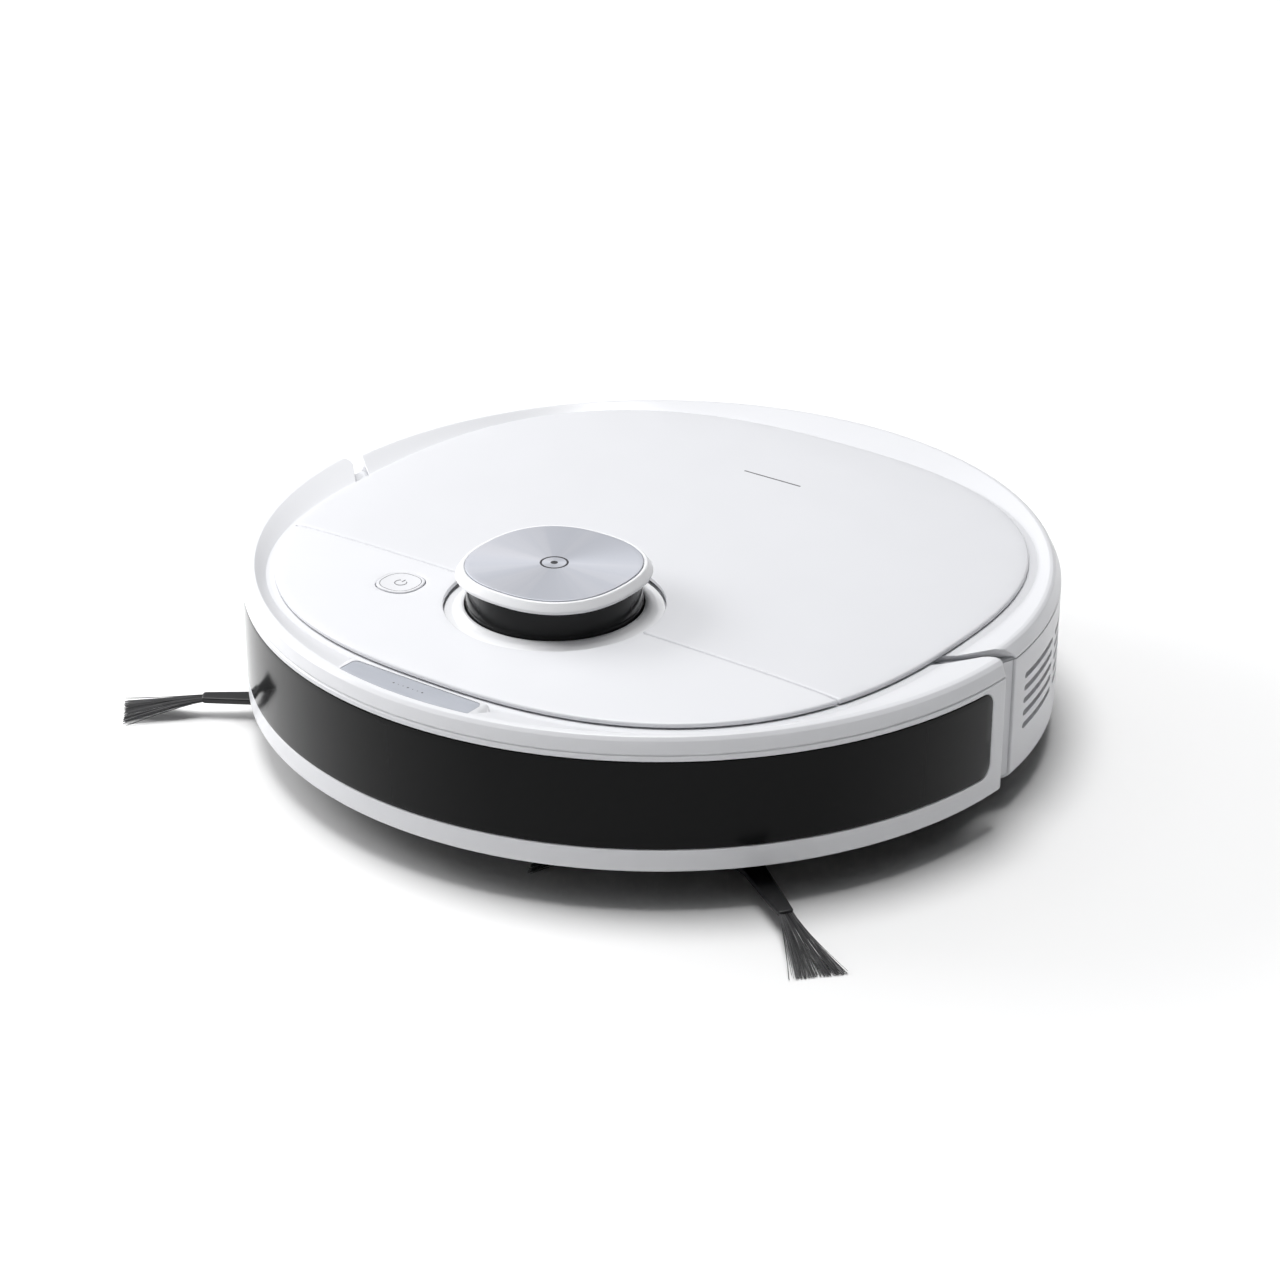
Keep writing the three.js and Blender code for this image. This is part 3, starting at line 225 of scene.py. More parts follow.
def piece(obj, body, material, *nodes, angle=32):
    """Finishes a visible piece: shading, material, the body it rides on, the nodes it stands for."""
    obj.data.shade_smooth()
    obj.data.set_sharp_from_angle(angle=math.radians(angle))
    obj.data.materials.clear()
    obj.data.materials.append(MATERIALS[material])
    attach(obj, body)
    if nodes:
        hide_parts(*nodes)
    CAD_SLOTS.get(material, material)


def refined(node, shape, body, material, angle=32):
    """A finer piece that stands for one CAD node."""
    piece(new_object(f"{node}_fine", shape), body, material, node, angle=angle)


def extra(name, shape, body, material):
    """A small piece that no CAD node has."""
    piece(new_object(name, shape), body, material)


def rounded(corners, steps=5, longest=None):
    """A closed outline from (x, y, radius) corners, each corner an arc; long straights are split."""
    out = []
    count = len(corners)
    for i, (x, y, radius) in enumerate(corners):
        here = np.array((x, y), float)
        back = np.array(corners[i - 1][:2], float) - here
        ahead = np.array(corners[(i + 1) % count][:2], float) - here
        back_length, ahead_length = np.linalg.norm(back), np.linalg.norm(ahead)
        back, ahead = back / back_length, ahead / ahead_length
        half = math.acos(float(np.clip(back @ ahead, -1, 1))) / 2
        if radius <= 0 or half > 1.56:
            out.append(here)
            continue
        reach = min(radius / math.tan(half), 0.49 * back_length, 0.49 * ahead_length)
        true_radius = reach * math.tan(half)
        middle = (back + ahead) / np.linalg.norm(back + ahead)
        centre = here + middle * true_radius / math.sin(half)
        start = (here + back * reach - centre) / true_radius
        end = (here + ahead * reach - centre) / true_radius
        sweep = math.pi - 2 * half
        for k in range(steps + 1):
            a = sweep * k / steps
            point = (start * math.sin(sweep - a) + end * math.sin(a)) / math.sin(sweep)
            out.append(centre + true_radius * point)
    out = np.array(out)
    return split_long(out, longest) if longest else out


def split_long(points, longest):
    out = []
    for here, there in zip(points, np.roll(points, -1, axis=0)):
        parts = max(1, math.ceil(np.linalg.norm(there - here) / longest))
        out.extend(here + (there - here) * k / parts for k in range(parts))
    return np.array(out)


def ring_faces(rings, size, wrap):
    """Quads between neighbouring rings of points; wrap joins the last ring to the first."""
    faces = []
    for i in range(rings if wrap else rings - 1):
        low, high = i * size, ((i + 1) % rings) * size
        for j in range(size):
            k = (j + 1) % size
            faces.append((low + j, low + k, high + k, high + j))
    return faces


def lathe(profile, segments=128, reshape=None):
    """A closed (radius, z) profile turned round the vertical axis."""
    rings = []
    for i in range(segments):
        a = 2 * math.pi * i / segments
        radius = profile[:, 0] if reshape is None else reshape(profile[:, 0], a)
        rings.append(polar(radius, a, profile[:, 1]))
    return np.concatenate(rings), ring_faces(segments, len(profile), True)


def rod(x, y, radius, bottom, top, segments=32, chamfer=0.3):
    """A short upright rod with rounded rims."""
    profile = rounded([(0, bottom, 0), (radius, bottom, chamfer), (radius, top, chamfer), (0, top, 0)], 3)
    return moved(lathe(profile, segments), x, y)


def squircle_scale(angle):
    """How much further than a circle a rounded square reaches in the direction of an angle."""
    total = np.abs(np.sin(angle)) ** SQUIRCLE_POWER + np.abs(np.cos(angle)) ** SQUIRCLE_POWER
    return total ** (-1 / SQUIRCLE_POWER)


def squircle(half_width, x=0.0, y=0.0, count=96):
    angles = np.arange(count) * 2 * math.pi / count
    return polar(squircle_scale(angles) * half_width, angles) + (x, y)


def circle(radius, x=0.0, y=0.0, count=96):
    angles = np.arange(count) * 2 * math.pi / count
    return polar(radius, angles) + (x, y)


def rectangle(x0, x1, y0, y1, corner, longest=4.0, steps=6):
    corners = [(x0, y0, corner), (x1, y0, corner), (x1, y1, corner), (x0, y1, corner)]
    return rounded(corners, steps, longest)


def signed_area(loop):
    x, y = loop[:, 0], loop[:, 1]
    return 0.5 * np.sum(x * np.roll(y, -1) - np.roll(x, -1) * y)


def inward(loop):
    """Per-point shift that moves a loop one unit to its left, with corners mitred."""
    ahead = np.roll(loop, -1, axis=0) - loop
    ahead /= np.linalg.norm(ahead, axis=1)[:, None]
    back = np.roll(ahead, 1, axis=0)
    left_ahead = np.stack((-ahead[:, 1], ahead[:, 0]), axis=1)
    left_back = np.stack((-back[:, 1], back[:, 0]), axis=1)
    middle = left_ahead + left_back
    middle /= np.linalg.norm(middle, axis=1)[:, None]
    stretch = 1 / np.maximum(np.sum(middle * left_ahead, axis=1), 0.5)
    return middle * stretch[:, None]


def inside(points, loops):
    """Which points lie inside the outer loop and outside its holes."""
    result = np.zeros(len(points), bool)
    for loop in loops:
        (x0, y0), (x1, y1) = loop.T, np.roll(loop, -1, axis=0).T
        span = np.where(y1 == y0, 1e-12, y1 - y0)
        for start in range(0, len(points), 2000):
            part = slice(start, start + 2000)
            x, y = points[part, :1], points[part, 1:]
            crosses = (y0 > y) != (y1 > y)
            at = x0 + (y - y0) * (x1 - x0) / span
            result[part] ^= np.sum(crosses & (x < at), axis=1) % 2 == 1
    return result


def fill(loops, spacing):
    """Triangles over the region between an outer loop and its holes, with a grid of points inside."""
    low, high = loops[0].min(axis=0), loops[0].max(axis=0)
    xs, ys = (np.arange(low[i] + spacing / 2, high[i], spacing) for i in (0, 1))
    grid = np.stack(np.meshgrid(xs, ys), axis=-1).reshape(-1, 2)
    grid = grid[inside(grid, loops)]
    border = np.concatenate(loops)
    near = np.full(len(grid), 1e9)
    for start in range(0, len(border), 200):
        gaps = grid[:, None, :] - border[None, start:start + 200, :]
        near = np.minimum(near, np.sqrt((gaps ** 2).sum(axis=2)).min(axis=1))
    points = np.concatenate((border, grid[near > 0.45 * spacing]))
    edges, start = [], 0
    for loop in loops:
        count = len(loop)
        edges.extend((start + i, start + (i + 1) % count) for i in range(count))
        start += count
    found = delaunay_2d_cdt([Vector(p) for p in points], edges, [], 0, 1e-5)
    result = np.array([tuple(p) for p in found[0]])
    triangles = np.array([tuple(face) for face in found[2]])
    return result, triangles[inside(result[triangles].mean(axis=1), loops)]


def value_at(rule, points):
    """A height or an inset that is either one number or a function of the plan points."""
    return rule(points) if callable(rule) else np.full(len(points), float(rule))


def stacked(loops, levels, spacing=4.0):
    """A closed skin through inset copies of flat loops; levels holds each copy's inset and height."""
    oriented = [loop if (signed_area(loop) > 0) == (i == 0) else loop[::-1] for i, loop in enumerate(loops)]
    shifts = [inward(loop) for loop in oriented]
    placed = [
        [loop + shift * value_at(inset, loop)[:, None] for loop, shift in zip(oriented, shifts)]
        for inset, _ in levels
    ]
    parts = []
    for which, loop in enumerate(oriented):
        rings = []
        for level, (_, height) in enumerate(levels):
            flat = placed[level][which]
            rings.append(np.column_stack((flat, value_at(height, flat))))
        parts.append((np.concatenate(rings), ring_faces(len(levels), len(loop), False)))
    for level, flip in ((0, True), (len(levels) - 1, False)):
        flat, triangles = fill(placed[level], spacing)
        faces = [tuple(t[::-1]) if flip else tuple(t) for t in triangles.tolist()]
        parts.append((np.column_stack((flat, value_at(levels[level][1], flat))), faces))
    return joined(*parts)


def fillet_levels(radius, top, bottom, foot=0.2, steps=4):
    """Levels of a plate with a rounded upper edge. Each size may be a function of the plan points."""
    def level(turn):
        return (
            lambda points: value_at(radius, points) * (1 - math.cos(turn)),
            lambda points: value_at(top, points) - value_at(radius, points) * (1 - math.sin(turn)),
        )
    upper = [level(k / steps * math.pi / 2) for k in range(steps + 1)]
    return [(foot, bottom), (0.0, lambda points: value_at(bottom, points) + foot)] + upper


def plate(outline, bottom, top, spacing=2.0, fillet=0.0, foot=0.2):
    """A flat plate from one outline, its upper edge rounded if a fillet is given."""
    levels = fillet_levels(fillet, top, bottom, foot) if fillet else [(0, bottom), (0, top)]
    return stacked([outline], levels, spacing)


def bent(shape, radius):
    """A shape drawn as (arc length, z, outward) wrapped round the vertical axis."""
    along, z, outward = shape[0].T
    return polar(radius + outward, along / radius, z), shape[1]


def tube(path, radii, sides=6):
    """A round tube along a path of points, closed at both ends."""
    path = np.asarray(path, float)
    tangent = np.gradient(path, axis=0)
    tangent /= np.linalg.norm(tangent, axis=1)[:, None]
    helper = np.array((0.0, 0.0, 1.0)) if abs(tangent[0][2]) < 0.9 else np.array((0.0, 1.0, 0.0))
    across = np.cross(tangent, helper)
    across /= np.linalg.norm(across, axis=1)[:, None]
    up = np.cross(across, tangent)
    turn = np.arange(sides) * 2 * math.pi / sides
    radii = np.broadcast_to(radii, (len(path),))
    points = (
        path[:, None, :]
        + across[:, None, :] * (np.cos(turn)[None, :, None] * radii[:, None, None])
        + up[:, None, :] * (np.sin(turn)[None, :, None] * radii[:, None, None])
    ).reshape(-1, 3)
    ends = [tuple(range(sides))[::-1], tuple(range(len(points) - sides, len(points)))]
    return points, ring_faces(len(path), sides, False) + ends


def capped(rings, outline):
    """Rings of points skinned into a closed shape; outline is the flat drawing that the end caps follow."""
    size, last = len(outline), (len(rings) - 1) * len(outline)
    cap = tessellate_polygon([[Vector((x, y, 0)) for x, y in outline]])
    ends = [tuple(t) for t in cap] + [tuple(last + i for i in t[::-1]) for t in cap]
    return np.concatenate(rings), ring_faces(len(rings), size, False) + ends


# ---------- sweeps round the rim ----------

def bisected(low, high, before):
    """The value between two others at which before(value) stops being true."""
    for _ in range(50):
        middle = (low + high) / 2
        low, high = (middle, high) if before(middle) else (low, middle)
    return (low + high) / 2


def meeting_angle(radius, crest, boundary):
    """Angle at which a point of the rim reaches the parting line, given as plan points on the +X side."""
    xs, ys = zip(*boundary)

    def before(angle):
        reach = float(rim_radius(radius, angle, crest))
        return -reach * math.cos(angle) < np.interp(reach * math.sin(angle), xs, ys)

    return bisected(math.radians(30), math.radians(125), before)


def rim_sweep(profile, crest, boundary, front, columns, end_round=1.6, end_from=172.3):
    """A rim profile swept round the front or the rear of the body, from parting line to parting line.

    The ends are rounded in plan over end_round beyond the radius end_from, and all round by a small inset.
    """
    inset = 0.35
    near_end = [0.0, 0.08, 0.25, 0.55, 0.95, 1.4, 2.0]
    loop = profile if signed_area(profile) > 0 else profile[::-1]
    shift = inward(loop)
    ends = np.array([meeting_angle(r, crest, boundary) for r, _ in loop])
    if not front:
        ends = np.pi - ends
    reach = loop[:, 0].copy()
    rounding = np.clip((reach - end_from) / 1.5, 0, 1)

    def shortfall(gap, radius):
        """How far a quarter round of this radius falls back at a gap from the end."""
        return radius * (1 - math.sqrt(1 - max(0.0, 1 - gap / radius) ** 2))

    stations = [(s, 1) for s in near_end]
    stations += [(near_end[-1] + 1.0, t) for t in np.linspace(1, -1, columns)]
    stations += [(s, -1) for s in near_end[::-1]]
    rings = []
    for gap, turn in stations:
        drawn = loop + shift * shortfall(gap, inset)
        drawn[:, 0] -= rounding * shortfall(gap, end_round)
        angle = (ends - gap / reach) * turn
        if not front:
            angle = np.pi - angle
        warped = np.array([float(rim_radius(r, a, crest)) for r, a in zip(drawn[:, 0], angle)])
        rings.append(polar(warped, angle, drawn[:, 1]))
    return capped(rings, loop)


# ---------- materials ----------

class Nodes:
    """A small helper that builds one node material round a Principled shader."""

    def __init__(self, name):
        self.material = bpy.data.materials.new(name)
        self.material.use_nodes = True
        self.tree = self.material.node_tree
        self.shader = self.tree.nodes["Principled BSDF"]
        self.place = self.add("ShaderNodeTexCoord").outputs["Object"]

    def add(self, kind, **settings):
        node = self.tree.nodes.new(kind)
        for key, value in settings.items():
            setattr(node, key, value)
        return node

    def link(self, source, target):
        self.tree.links.new(source, target)

    def set(self, **values):
        for key, value in values.items():
            self.shader.inputs[key.replace("_", " ")].default_value = value

    def noise(self, size_mm, detail=2.0, stretch=None):
        node = self.add("ShaderNodeTexNoise")
        node.inputs["Scale"].default_value = 1 / (size_mm * MM)
        node.inputs["Detail"].default_value = detail
        source = self.place
        if stretch:
            mapping = self.add("ShaderNodeMapping")
            mapping.inputs["Scale"].default_value = stretch
            self.link(source, mapping.inputs["Vector"])
            source = mapping.outputs["Vector"]
        self.link(source, node.inputs["Vector"])
        return node.outputs["Fac"]

    def math(self, operation, a, b=0.0):
        node = self.add("ShaderNodeMath", operation=operation)
        for socket, value in zip(node.inputs, (a, b)):
            if isinstance(value, (int, float)):
                socket.default_value = value
            else:
                self.link(value, socket)
        return node.outputs[0]

    def ranged(self, source, low, high, new_low, new_high):
        node = self.add("ShaderNodeMapRange")
        self.link(source, node.inputs["Value"])
        for key, value in zip(("From Min", "From Max", "To Min", "To Max"), (low, high, new_low, new_high)):
            node.inputs[key].default_value = value
        return node.outputs["Result"]

    def mixed(self, factor, first, second):
        node = self.add("ShaderNodeMix", data_type="RGBA")
        self.link(factor, node.inputs["Factor"])
        for key, value in (("A", first), ("B", second)):
            socket = next(s for s in node.inputs if s.name == key and s.type == "RGBA")
            if isinstance(value, tuple):
                socket.default_value = (*value, 1.0)
            else:
                self.link(value, socket)
        return next(s for s in node.outputs if s.type == "RGBA")

    def bump(self, height, distance_mm):
        node = self.add("ShaderNodeBump")
        node.inputs["Distance"].default_value = distance_mm * MM
        node.inputs["Strength"].default_value = 1.0
        self.link(height, node.inputs["Height"])
        self.link(node.outputs["Normal"], self.shader.inputs["Normal"])

    def colour(self, factor, first, second):
        self.link(self.mixed(factor, first, second), self.shader.inputs["Base Color"])

    def roughness(self, source, low, high):
        self.link(self.ranged(source, 0.3, 0.7, low, high), self.shader.inputs["Roughness"])

    def coordinate(self, axis):
        node = self.add("ShaderNodeSeparateXYZ")
        self.link(self.place, node.inputs[0])
        return node.outputs[axis]


def shaded(colour, factor):
    return tuple(c * factor for c in colour)


def surface(name, dark, light, flow, rough, gloss=None, grain=None, depth=0.0, **values):
    """A plain material. flow, gloss and grain are noises: a size in millimetres, a detail and a stretch."""
    nodes = Nodes(name)
    pattern = nodes.noise(*flow)
    nodes.colour(pattern, dark, light)
    nodes.roughness(nodes.noise(*gloss) if gloss else pattern, *rough)
    nodes.bump(nodes.noise(*grain) if grain else pattern, depth)
    nodes.set(**values)
    return nodes.material


def plastic(name, colour, rough, depth=0.004, grain_size=0.5, mottle=0.03):
    """Moulded plastic: faint flow mottling in colour and gloss, and a fine spark-eroded grain."""
    span = rough * 0.92, rough * 1.08
    return surface(name, shaded(colour, 1 - mottle), colour, (45, 3), span, (18, 4), (grain_size, 3), depth)


def metal(name, colour, rough, stretch):
    """Drawn metal, its fine scratches stretched along one axis."""
    span = rough * 0.8, rough * 1.25
    return surface(name, shaded(colour, 0.86), colour, (0.6, 4, stretch), span, depth=0.002, Metallic=1.0)


def rubber(name, colour, rough):
    """Rubber with a patchy dusty bloom."""
    nodes = Nodes(name)
    bloom = nodes.ranged(nodes.noise(6, 5), 0.45, 0.75, 0.0, 1.0)
    nodes.colour(bloom, colour, shaded(colour, 1.7))
    nodes.roughness(nodes.noise(3, 3), rough * 0.9, rough)
    nodes.bump(nodes.noise(0.35, 4), 0.02)
    return nodes.material


def gloss_black(name, colour):
    """Tinted infrared window: smooth, dark and only faintly reflective face on."""
    nodes = Nodes(name)
    nodes.colour(nodes.noise(60, 2), shaded(colour, 0.8), colour)
    nodes.roughness(nodes.noise(25, 3), 0.10, 0.13)
    facing = nodes.add("ShaderNodeLayerWeight").outputs["Facing"]
    nodes.link(nodes.ranged(facing, 0.2, 0.6, 1.18, 1.34), nodes.shader.inputs["IOR"])
    return nodes.material


def spun_plate():
    """Spun aluminium: fine turning rings, and lighter streaks that fan out from the centre, a painted
    highlight for the sheen of the spun finish.
    """
    nodes = Nodes("spun_plate")
    x, y = nodes.coordinate("X"), nodes.coordinate("Y")
    squares = nodes.math("MULTIPLY", x, x), nodes.math("MULTIPLY", y, y)
    noise = nodes.add("ShaderNodeTexNoise", noise_dimensions="1D")
    noise.inputs["Scale"].default_value = 1 / (0.09 * MM)
    noise.inputs["Detail"].default_value = 2.0
    nodes.link(nodes.math("SQRT", nodes.math("ADD", *squares)), noise.inputs["W"])
    rings = noise.outputs["Fac"]
    angle = nodes.math("ARCTAN2", y, x)
    fan = nodes.add("ShaderNodeTexNoise", noise_dimensions="2D")
    fan.inputs["Scale"].default_value = 1.6
    fan.inputs["Detail"].default_value = 3.0
    around = nodes.add("ShaderNodeCombineXYZ")
    nodes.link(nodes.math("COSINE", angle), around.inputs["X"])
    nodes.link(nodes.math("SINE", angle), around.inputs["Y"])
    nodes.link(around.outputs["Vector"], fan.inputs["Vector"])
    # painted highlight: lighter streaks mixed into the base colour by angle round the centre
    painted_highlight_streak = nodes.ranged(fan.outputs["Fac"], 0.42, 0.66, 0.0, 1.0)
    base = nodes.mixed(painted_highlight_streak, (0.585, 0.605, 0.665), (0.72, 0.72, 0.76))
    nodes.colour(rings, shaded((0.60, 0.615, 0.67), 0.95), base)
    nodes.roughness(rings, 0.40, 0.48)
    nodes.bump(rings, 0.0008)
    tangent = nodes.add("ShaderNodeTangent", direction_type="RADIAL", axis="Z")
    nodes.link(tangent.outputs["Tangent"], nodes.shader.inputs["Tangent"])
    nodes.set(Metallic=0.4, Anisotropic=0.5)
    return nodes.material


def filter_paper():
    """Pleated filter paper: fibres and fine pleats."""
    nodes = Nodes("filter_paper")
    pleats = nodes.add("ShaderNodeTexWave", wave_type="BANDS", bands_direction="X")
    pleats.inputs["Scale"].default_value = 1 / (7 * MM)
    nodes.link(nodes.place, pleats.inputs["Vector"])
    fibres = nodes.noise(0.7, 6)
    nodes.colour(fibres, (0.62, 0.61, 0.57), (0.80, 0.79, 0.76))
    nodes.bump(nodes.math("ADD", pleats.outputs["Fac"], nodes.math("MULTIPLY", fibres, 0.2)), 0.5)
    nodes.set(Roughness=0.9)
    return nodes.material


def circuit_board():
    """Green board with paler copper runs; what stands above it is black chip plastic."""
    nodes = Nodes("circuit_board")
    runs = nodes.add("ShaderNodeTexBrick")
    runs.inputs["Scale"].default_value = 1 / (9 * MM)
    runs.inputs["Mortar Size"].default_value = 0.06
    nodes.link(nodes.place, runs.inputs["Vector"])
    runs.inputs["Color1"].default_value = (0.012, 0.10, 0.045, 1)
    runs.inputs["Color2"].default_value = (0.010, 0.085, 0.04, 1)
    runs.inputs["Mortar"].default_value = (0.05, 0.22, 0.10, 1)
    board_top = node_box("main_board")[1][2] - 1.7
    chip = nodes.math("GREATER_THAN", nodes.coordinate("Z"), board_top * MM)
    nodes.colour(chip, runs.outputs["Color"], (0.015, 0.015, 0.017))
    nodes.bump(runs.outputs["Fac"], 0.05)
    nodes.set(Roughness=0.4)
    return nodes.material


def bristle_fibre():
    """Nylon bristles, each strand a slightly different grey."""
    nodes = Nodes("bristle_grey")
    strand = nodes.add("ShaderNodeNewGeometry").outputs["Random Per Island"]
    nodes.colour(nodes.math("POWER", strand, 2.2), (0.018, 0.018, 0.019), (0.16, 0.16, 0.165))
    nodes.roughness(nodes.noise(2, 2), 0.35, 0.5)
    nodes.bump(nodes.noise(0.4, 2), 0.01)
    return nodes.material


def make_materials():
    made = [
        plastic("white_shell", (0.755, 0.761, 0.785), 0.30),
        plastic("white_cover", (0.755, 0.761, 0.787), 0.36, 0.003),
        plastic("lid_white", (0.73, 0.736, 0.762), 0.34, 0.003),
        # white_shell made lighter: painted light on the turret cap and well, for bounce and front light that
        # the lamps do not give
        plastic("white_shell_painted_light", (0.86, 0.865, 0.88), 0.32),
        gloss_black("black_gloss", (0.0072, 0.0075, 0.0078)),
        # black_gloss with a lighter base colour: a painted reflection on the turret window
        gloss_black("black_gloss_painted_reflection", (0.028, 0.0285, 0.029)),
        plastic("black_base", (0.016, 0.016, 0.017), 0.55, 0.02, 0.8, 0.2),
        plastic("grey_plastic", (0.20, 0.205, 0.215), 0.5, 0.015, 0.7, 0.1),
        plastic("gear_nylon", (0.66, 0.65, 0.60), 0.42, 0.01, 0.8, 0.08),
        plastic("arm_black", (0.010, 0.010, 0.011), 0.42, 0.01, 0.8, 0.2),
        plastic("mark_grey", (0.13, 0.13, 0.14), 0.5, 0.001),
        plastic("mark_dark", (0.05, 0.05, 0.055), 0.4, 0.001),
        rubber("rubber_black", (0.018, 0.018, 0.019), 0.75),
        rubber("tyre", (0.022, 0.022, 0.022), 0.85),
        metal("steel", (0.50, 0.51, 0.53), 0.32, (0.1, 1, 1)),
        metal("contact", (0.72, 0.66, 0.52), 0.26, (1, 0.1, 1)),
        surface(  # satin inlay with a very fine lengthwise grain
            "satin_label", (0.43, 0.45, 0.50), (0.49, 0.51, 0.56), (0.5, 3, (0.05, 1, 1)), (0.38, 0.5),
            depth=0.0015, Metallic=0.2,
        ),
        surface(  # smoked see-through plastic of the dust bin
            "smoke_plastic", (0.10, 0.11, 0.12), (0.14, 0.15, 0.16), (30, 3), (0.16, 0.24), (8, 3), (2.5, 2),
            0.004, Transmission_Weight=0.35, IOR=1.45,
        ),
        surface(  # shrink-wrap film with soft wrinkles
            "battery_wrap", (0.03, 0.07, 0.20), (0.05, 0.11, 0.28), (5, 4, (1, 0.35, 1)), (0.22, 0.36),
            depth=0.25,
        ),
        spun_plate(), circuit_board(), filter_paper(), bristle_fibre(),
    ]
    # a CAD material of the same name makes Blender add a number, as in white_shell.001
    return {material.name.split(".")[0]: material for material in made}


MATERIALS = make_materials()
# the lighter white and the lighter black here are painted light, and fall back to their plain slots
CAD_SLOTS = {
    "mark_grey": "grey_plastic", "mark_dark": "grey_plastic", "white_shell_painted_light": "white_shell",
    "black_gloss_painted_reflection": "black_gloss",
}


# ---------- bumper ----------

def bumper_profile():
    r = BUMPER_RADIUS
    return rounded([
        (r - 3.2, BUMPER_BOTTOM, 0.4), (r, BUMPER_BOTTOM, 1.4), (r, SEAM_Z - 0.7, 0.35),
        (r - 0.8, SEAM_Z - 0.1, 0.2), (r - 0.3, SEAM_Z + 0.5, 0.35), (r - 2.1, CREST_Z - 1.9, 1.2),
        (r - 3.4, CREST_Z - 0.4, 1.2), (BUMPER_CREST, CREST_Z, 2.2), (LEDGE_NOMINAL, LEDGE_Z, 1.2),
        (144, LEDGE_Z - 0.4, 0.3), (144, LEDGE_Z - 2.2, 0.3), (LEDGE_NOMINAL, LEDGE_Z - 2, 0.8),
        (BUMPER_CREST - 1.6, CREST_Z - 2.4, 0.8), (r - 4.4, CREST_Z - 3.3, 0.6), (r - 3.2, SEAM_Z - 1, 0.6),
    ], 5, 3.0)


def window_shape(angle, grow, corner, levels):
    """The window's plate, or its pocket, bent round the bumper to an angle each side of the front."""
    low, high = node_box("bumper_window")
    reach = math.radians(angle) * BUMPER_RADIUS
    outline = rectangle(-reach, reach, low[2] - grow, high[2] + grow, corner, 3.0, 10)
    return bent(stacked([outline], levels, 3.0), BUMPER_RADIUS)


def label_pad():
    """The raised pad round the label; its ends ramp down to the ledge."""
    half, ramp = 34.0, 5.0
    inner = node_box("bumper_label")[1][1] + 1.4
    end = math.asin((half + ramp) / BUMPER_CREST)
    outer = polar(BUMPER_CREST, np.linspace(-end, end, 60))
    side_y = outer[0][1] + 4
    back = [(half + ramp, side_y, 2.0), (half, inner, 3.0), (-half, inner, 3.0), (-half - ramp, side_y, 2.0)]
    loop = rounded([(x, y, 0) for x, y in outer] + back, 5)

    def top(points):
        share = np.clip((np.abs(points[:, 0]) - half + 1.0) / ramp, 0, 1)
        return CREST_Z + 0.05 - 2.7 * share ** 2 * (3 - 2 * share)

    return stacked([loop], fillet_levels(0.5, top, LEDGE_Z - 1.2, 0.1), 2.0)


def label_outline(grow):
    high = node_box("bumper_label")[1]
    outer_radius = BUMPER_CREST - 0.1 + grow
    half, inner = high[0] + grow, high[1] + grow
    end = math.asin(half / outer_radius)
    edge = polar(outer_radius, np.linspace(-end, end, 60))
    corner_y = edge[0][1]
    corners = [(half, corner_y, 0.6), (half, inner, 2.4), (-half, inner, 2.4), (-half, corner_y, 0.6)]
    return rounded([(x, y, 0) for x, y in edge[1:-1]] + corners, 6, 1.5)


def build_bumper():
    shell = new_object("bumper_shell_fine", rim_sweep(bumper_profile(), BUMPER_CREST, BUMPER_END, True, 420))
    combined(shell, label_pad(), "UNION")
    flared = [(0, -2.0), (0, -0.35), (-0.3, -0.02), (-0.45, 1.5)]  # the pocket has a fine lip at the skin
    combined(shell, window_shape(85.1, 0.25, 6.3, flared), "DIFFERENCE")
    floor_z = node_box("bumper_label")[0][2]
    combined(shell, plate(label_outline(0.25), floor_z - 0.1, floor_z + 4), "DIFFERENCE")
    piece(shell, "bumper", "white_shell", "bumper_shell")
    window = window_shape(85.0, 0, 6.0, fillet_levels(0.25, -0.05, -1.6, 0.1))
    refined("bumper_window", window, "bumper", "black_gloss")


def build_label():
    """The inlay and, in place of print, a row of dots."""
    low, high = node_box("bumper_label")
    top = high[2] - 0.35
    shape = plate(label_outline(0.0), low[2], top, 2.0, 0.12, 0.05)
    refined("bumper_label", shape, "bumper", "satin_label")
    marks = []
    for i in range(7):
        radius = 0.45 if i % 3 == 0 else 0.25
        marks.append(rod((i - 3) * 2.4, (low[1] + high[1]) / 2, radius, top - 0.1, top + 0.03, 16, 0.02))
    extra("label_marks", joined(*marks), "bumper", "mark_grey")


# ---------- rear shell ----------

def vent_cutters():
    """Slots with round ends, flared at the skin."""
    half = 1.1
    levels = [(0, -7.0), (0, -0.5), (-0.22, -0.12), (-0.5, 1.5)]
    cutters = []
    for z in VENT_ROWS:
        for column in VENT_COLUMNS:
            start, end = (math.radians(a) * BODY_RADIUS for a in column)
            outline = rectangle(start, end, z - half, z + half, half * 0.98, 2.5, 6)
            cutter = bent(stacked([outline], levels, 2.5), BODY_RADIUS)
            cutters += [cutter, mirrored(cutter)]
    return joined(*cutters)


def build_rear_wall():
    low, high = node_box("rear_wall")
    inner = BODY_RADIUS - 4.4
    profile = rounded([
        (inner, low[2], 0.3), (BODY_RADIUS, low[2], 1.2), (BODY_RADIUS, high[2], 0.35),
        (inner, high[2], 0.3),
    ], 5, 3.0)
    wall = new_object("rear_wall_fine", rim_sweep(profile, 0, REAR_END, False, 400, 0.9, BODY_RADIUS - 2))
    combined(wall, vent_cutters(), "DIFFERENCE")
    piece(wall, "chassis", "white_shell", "rear_wall")


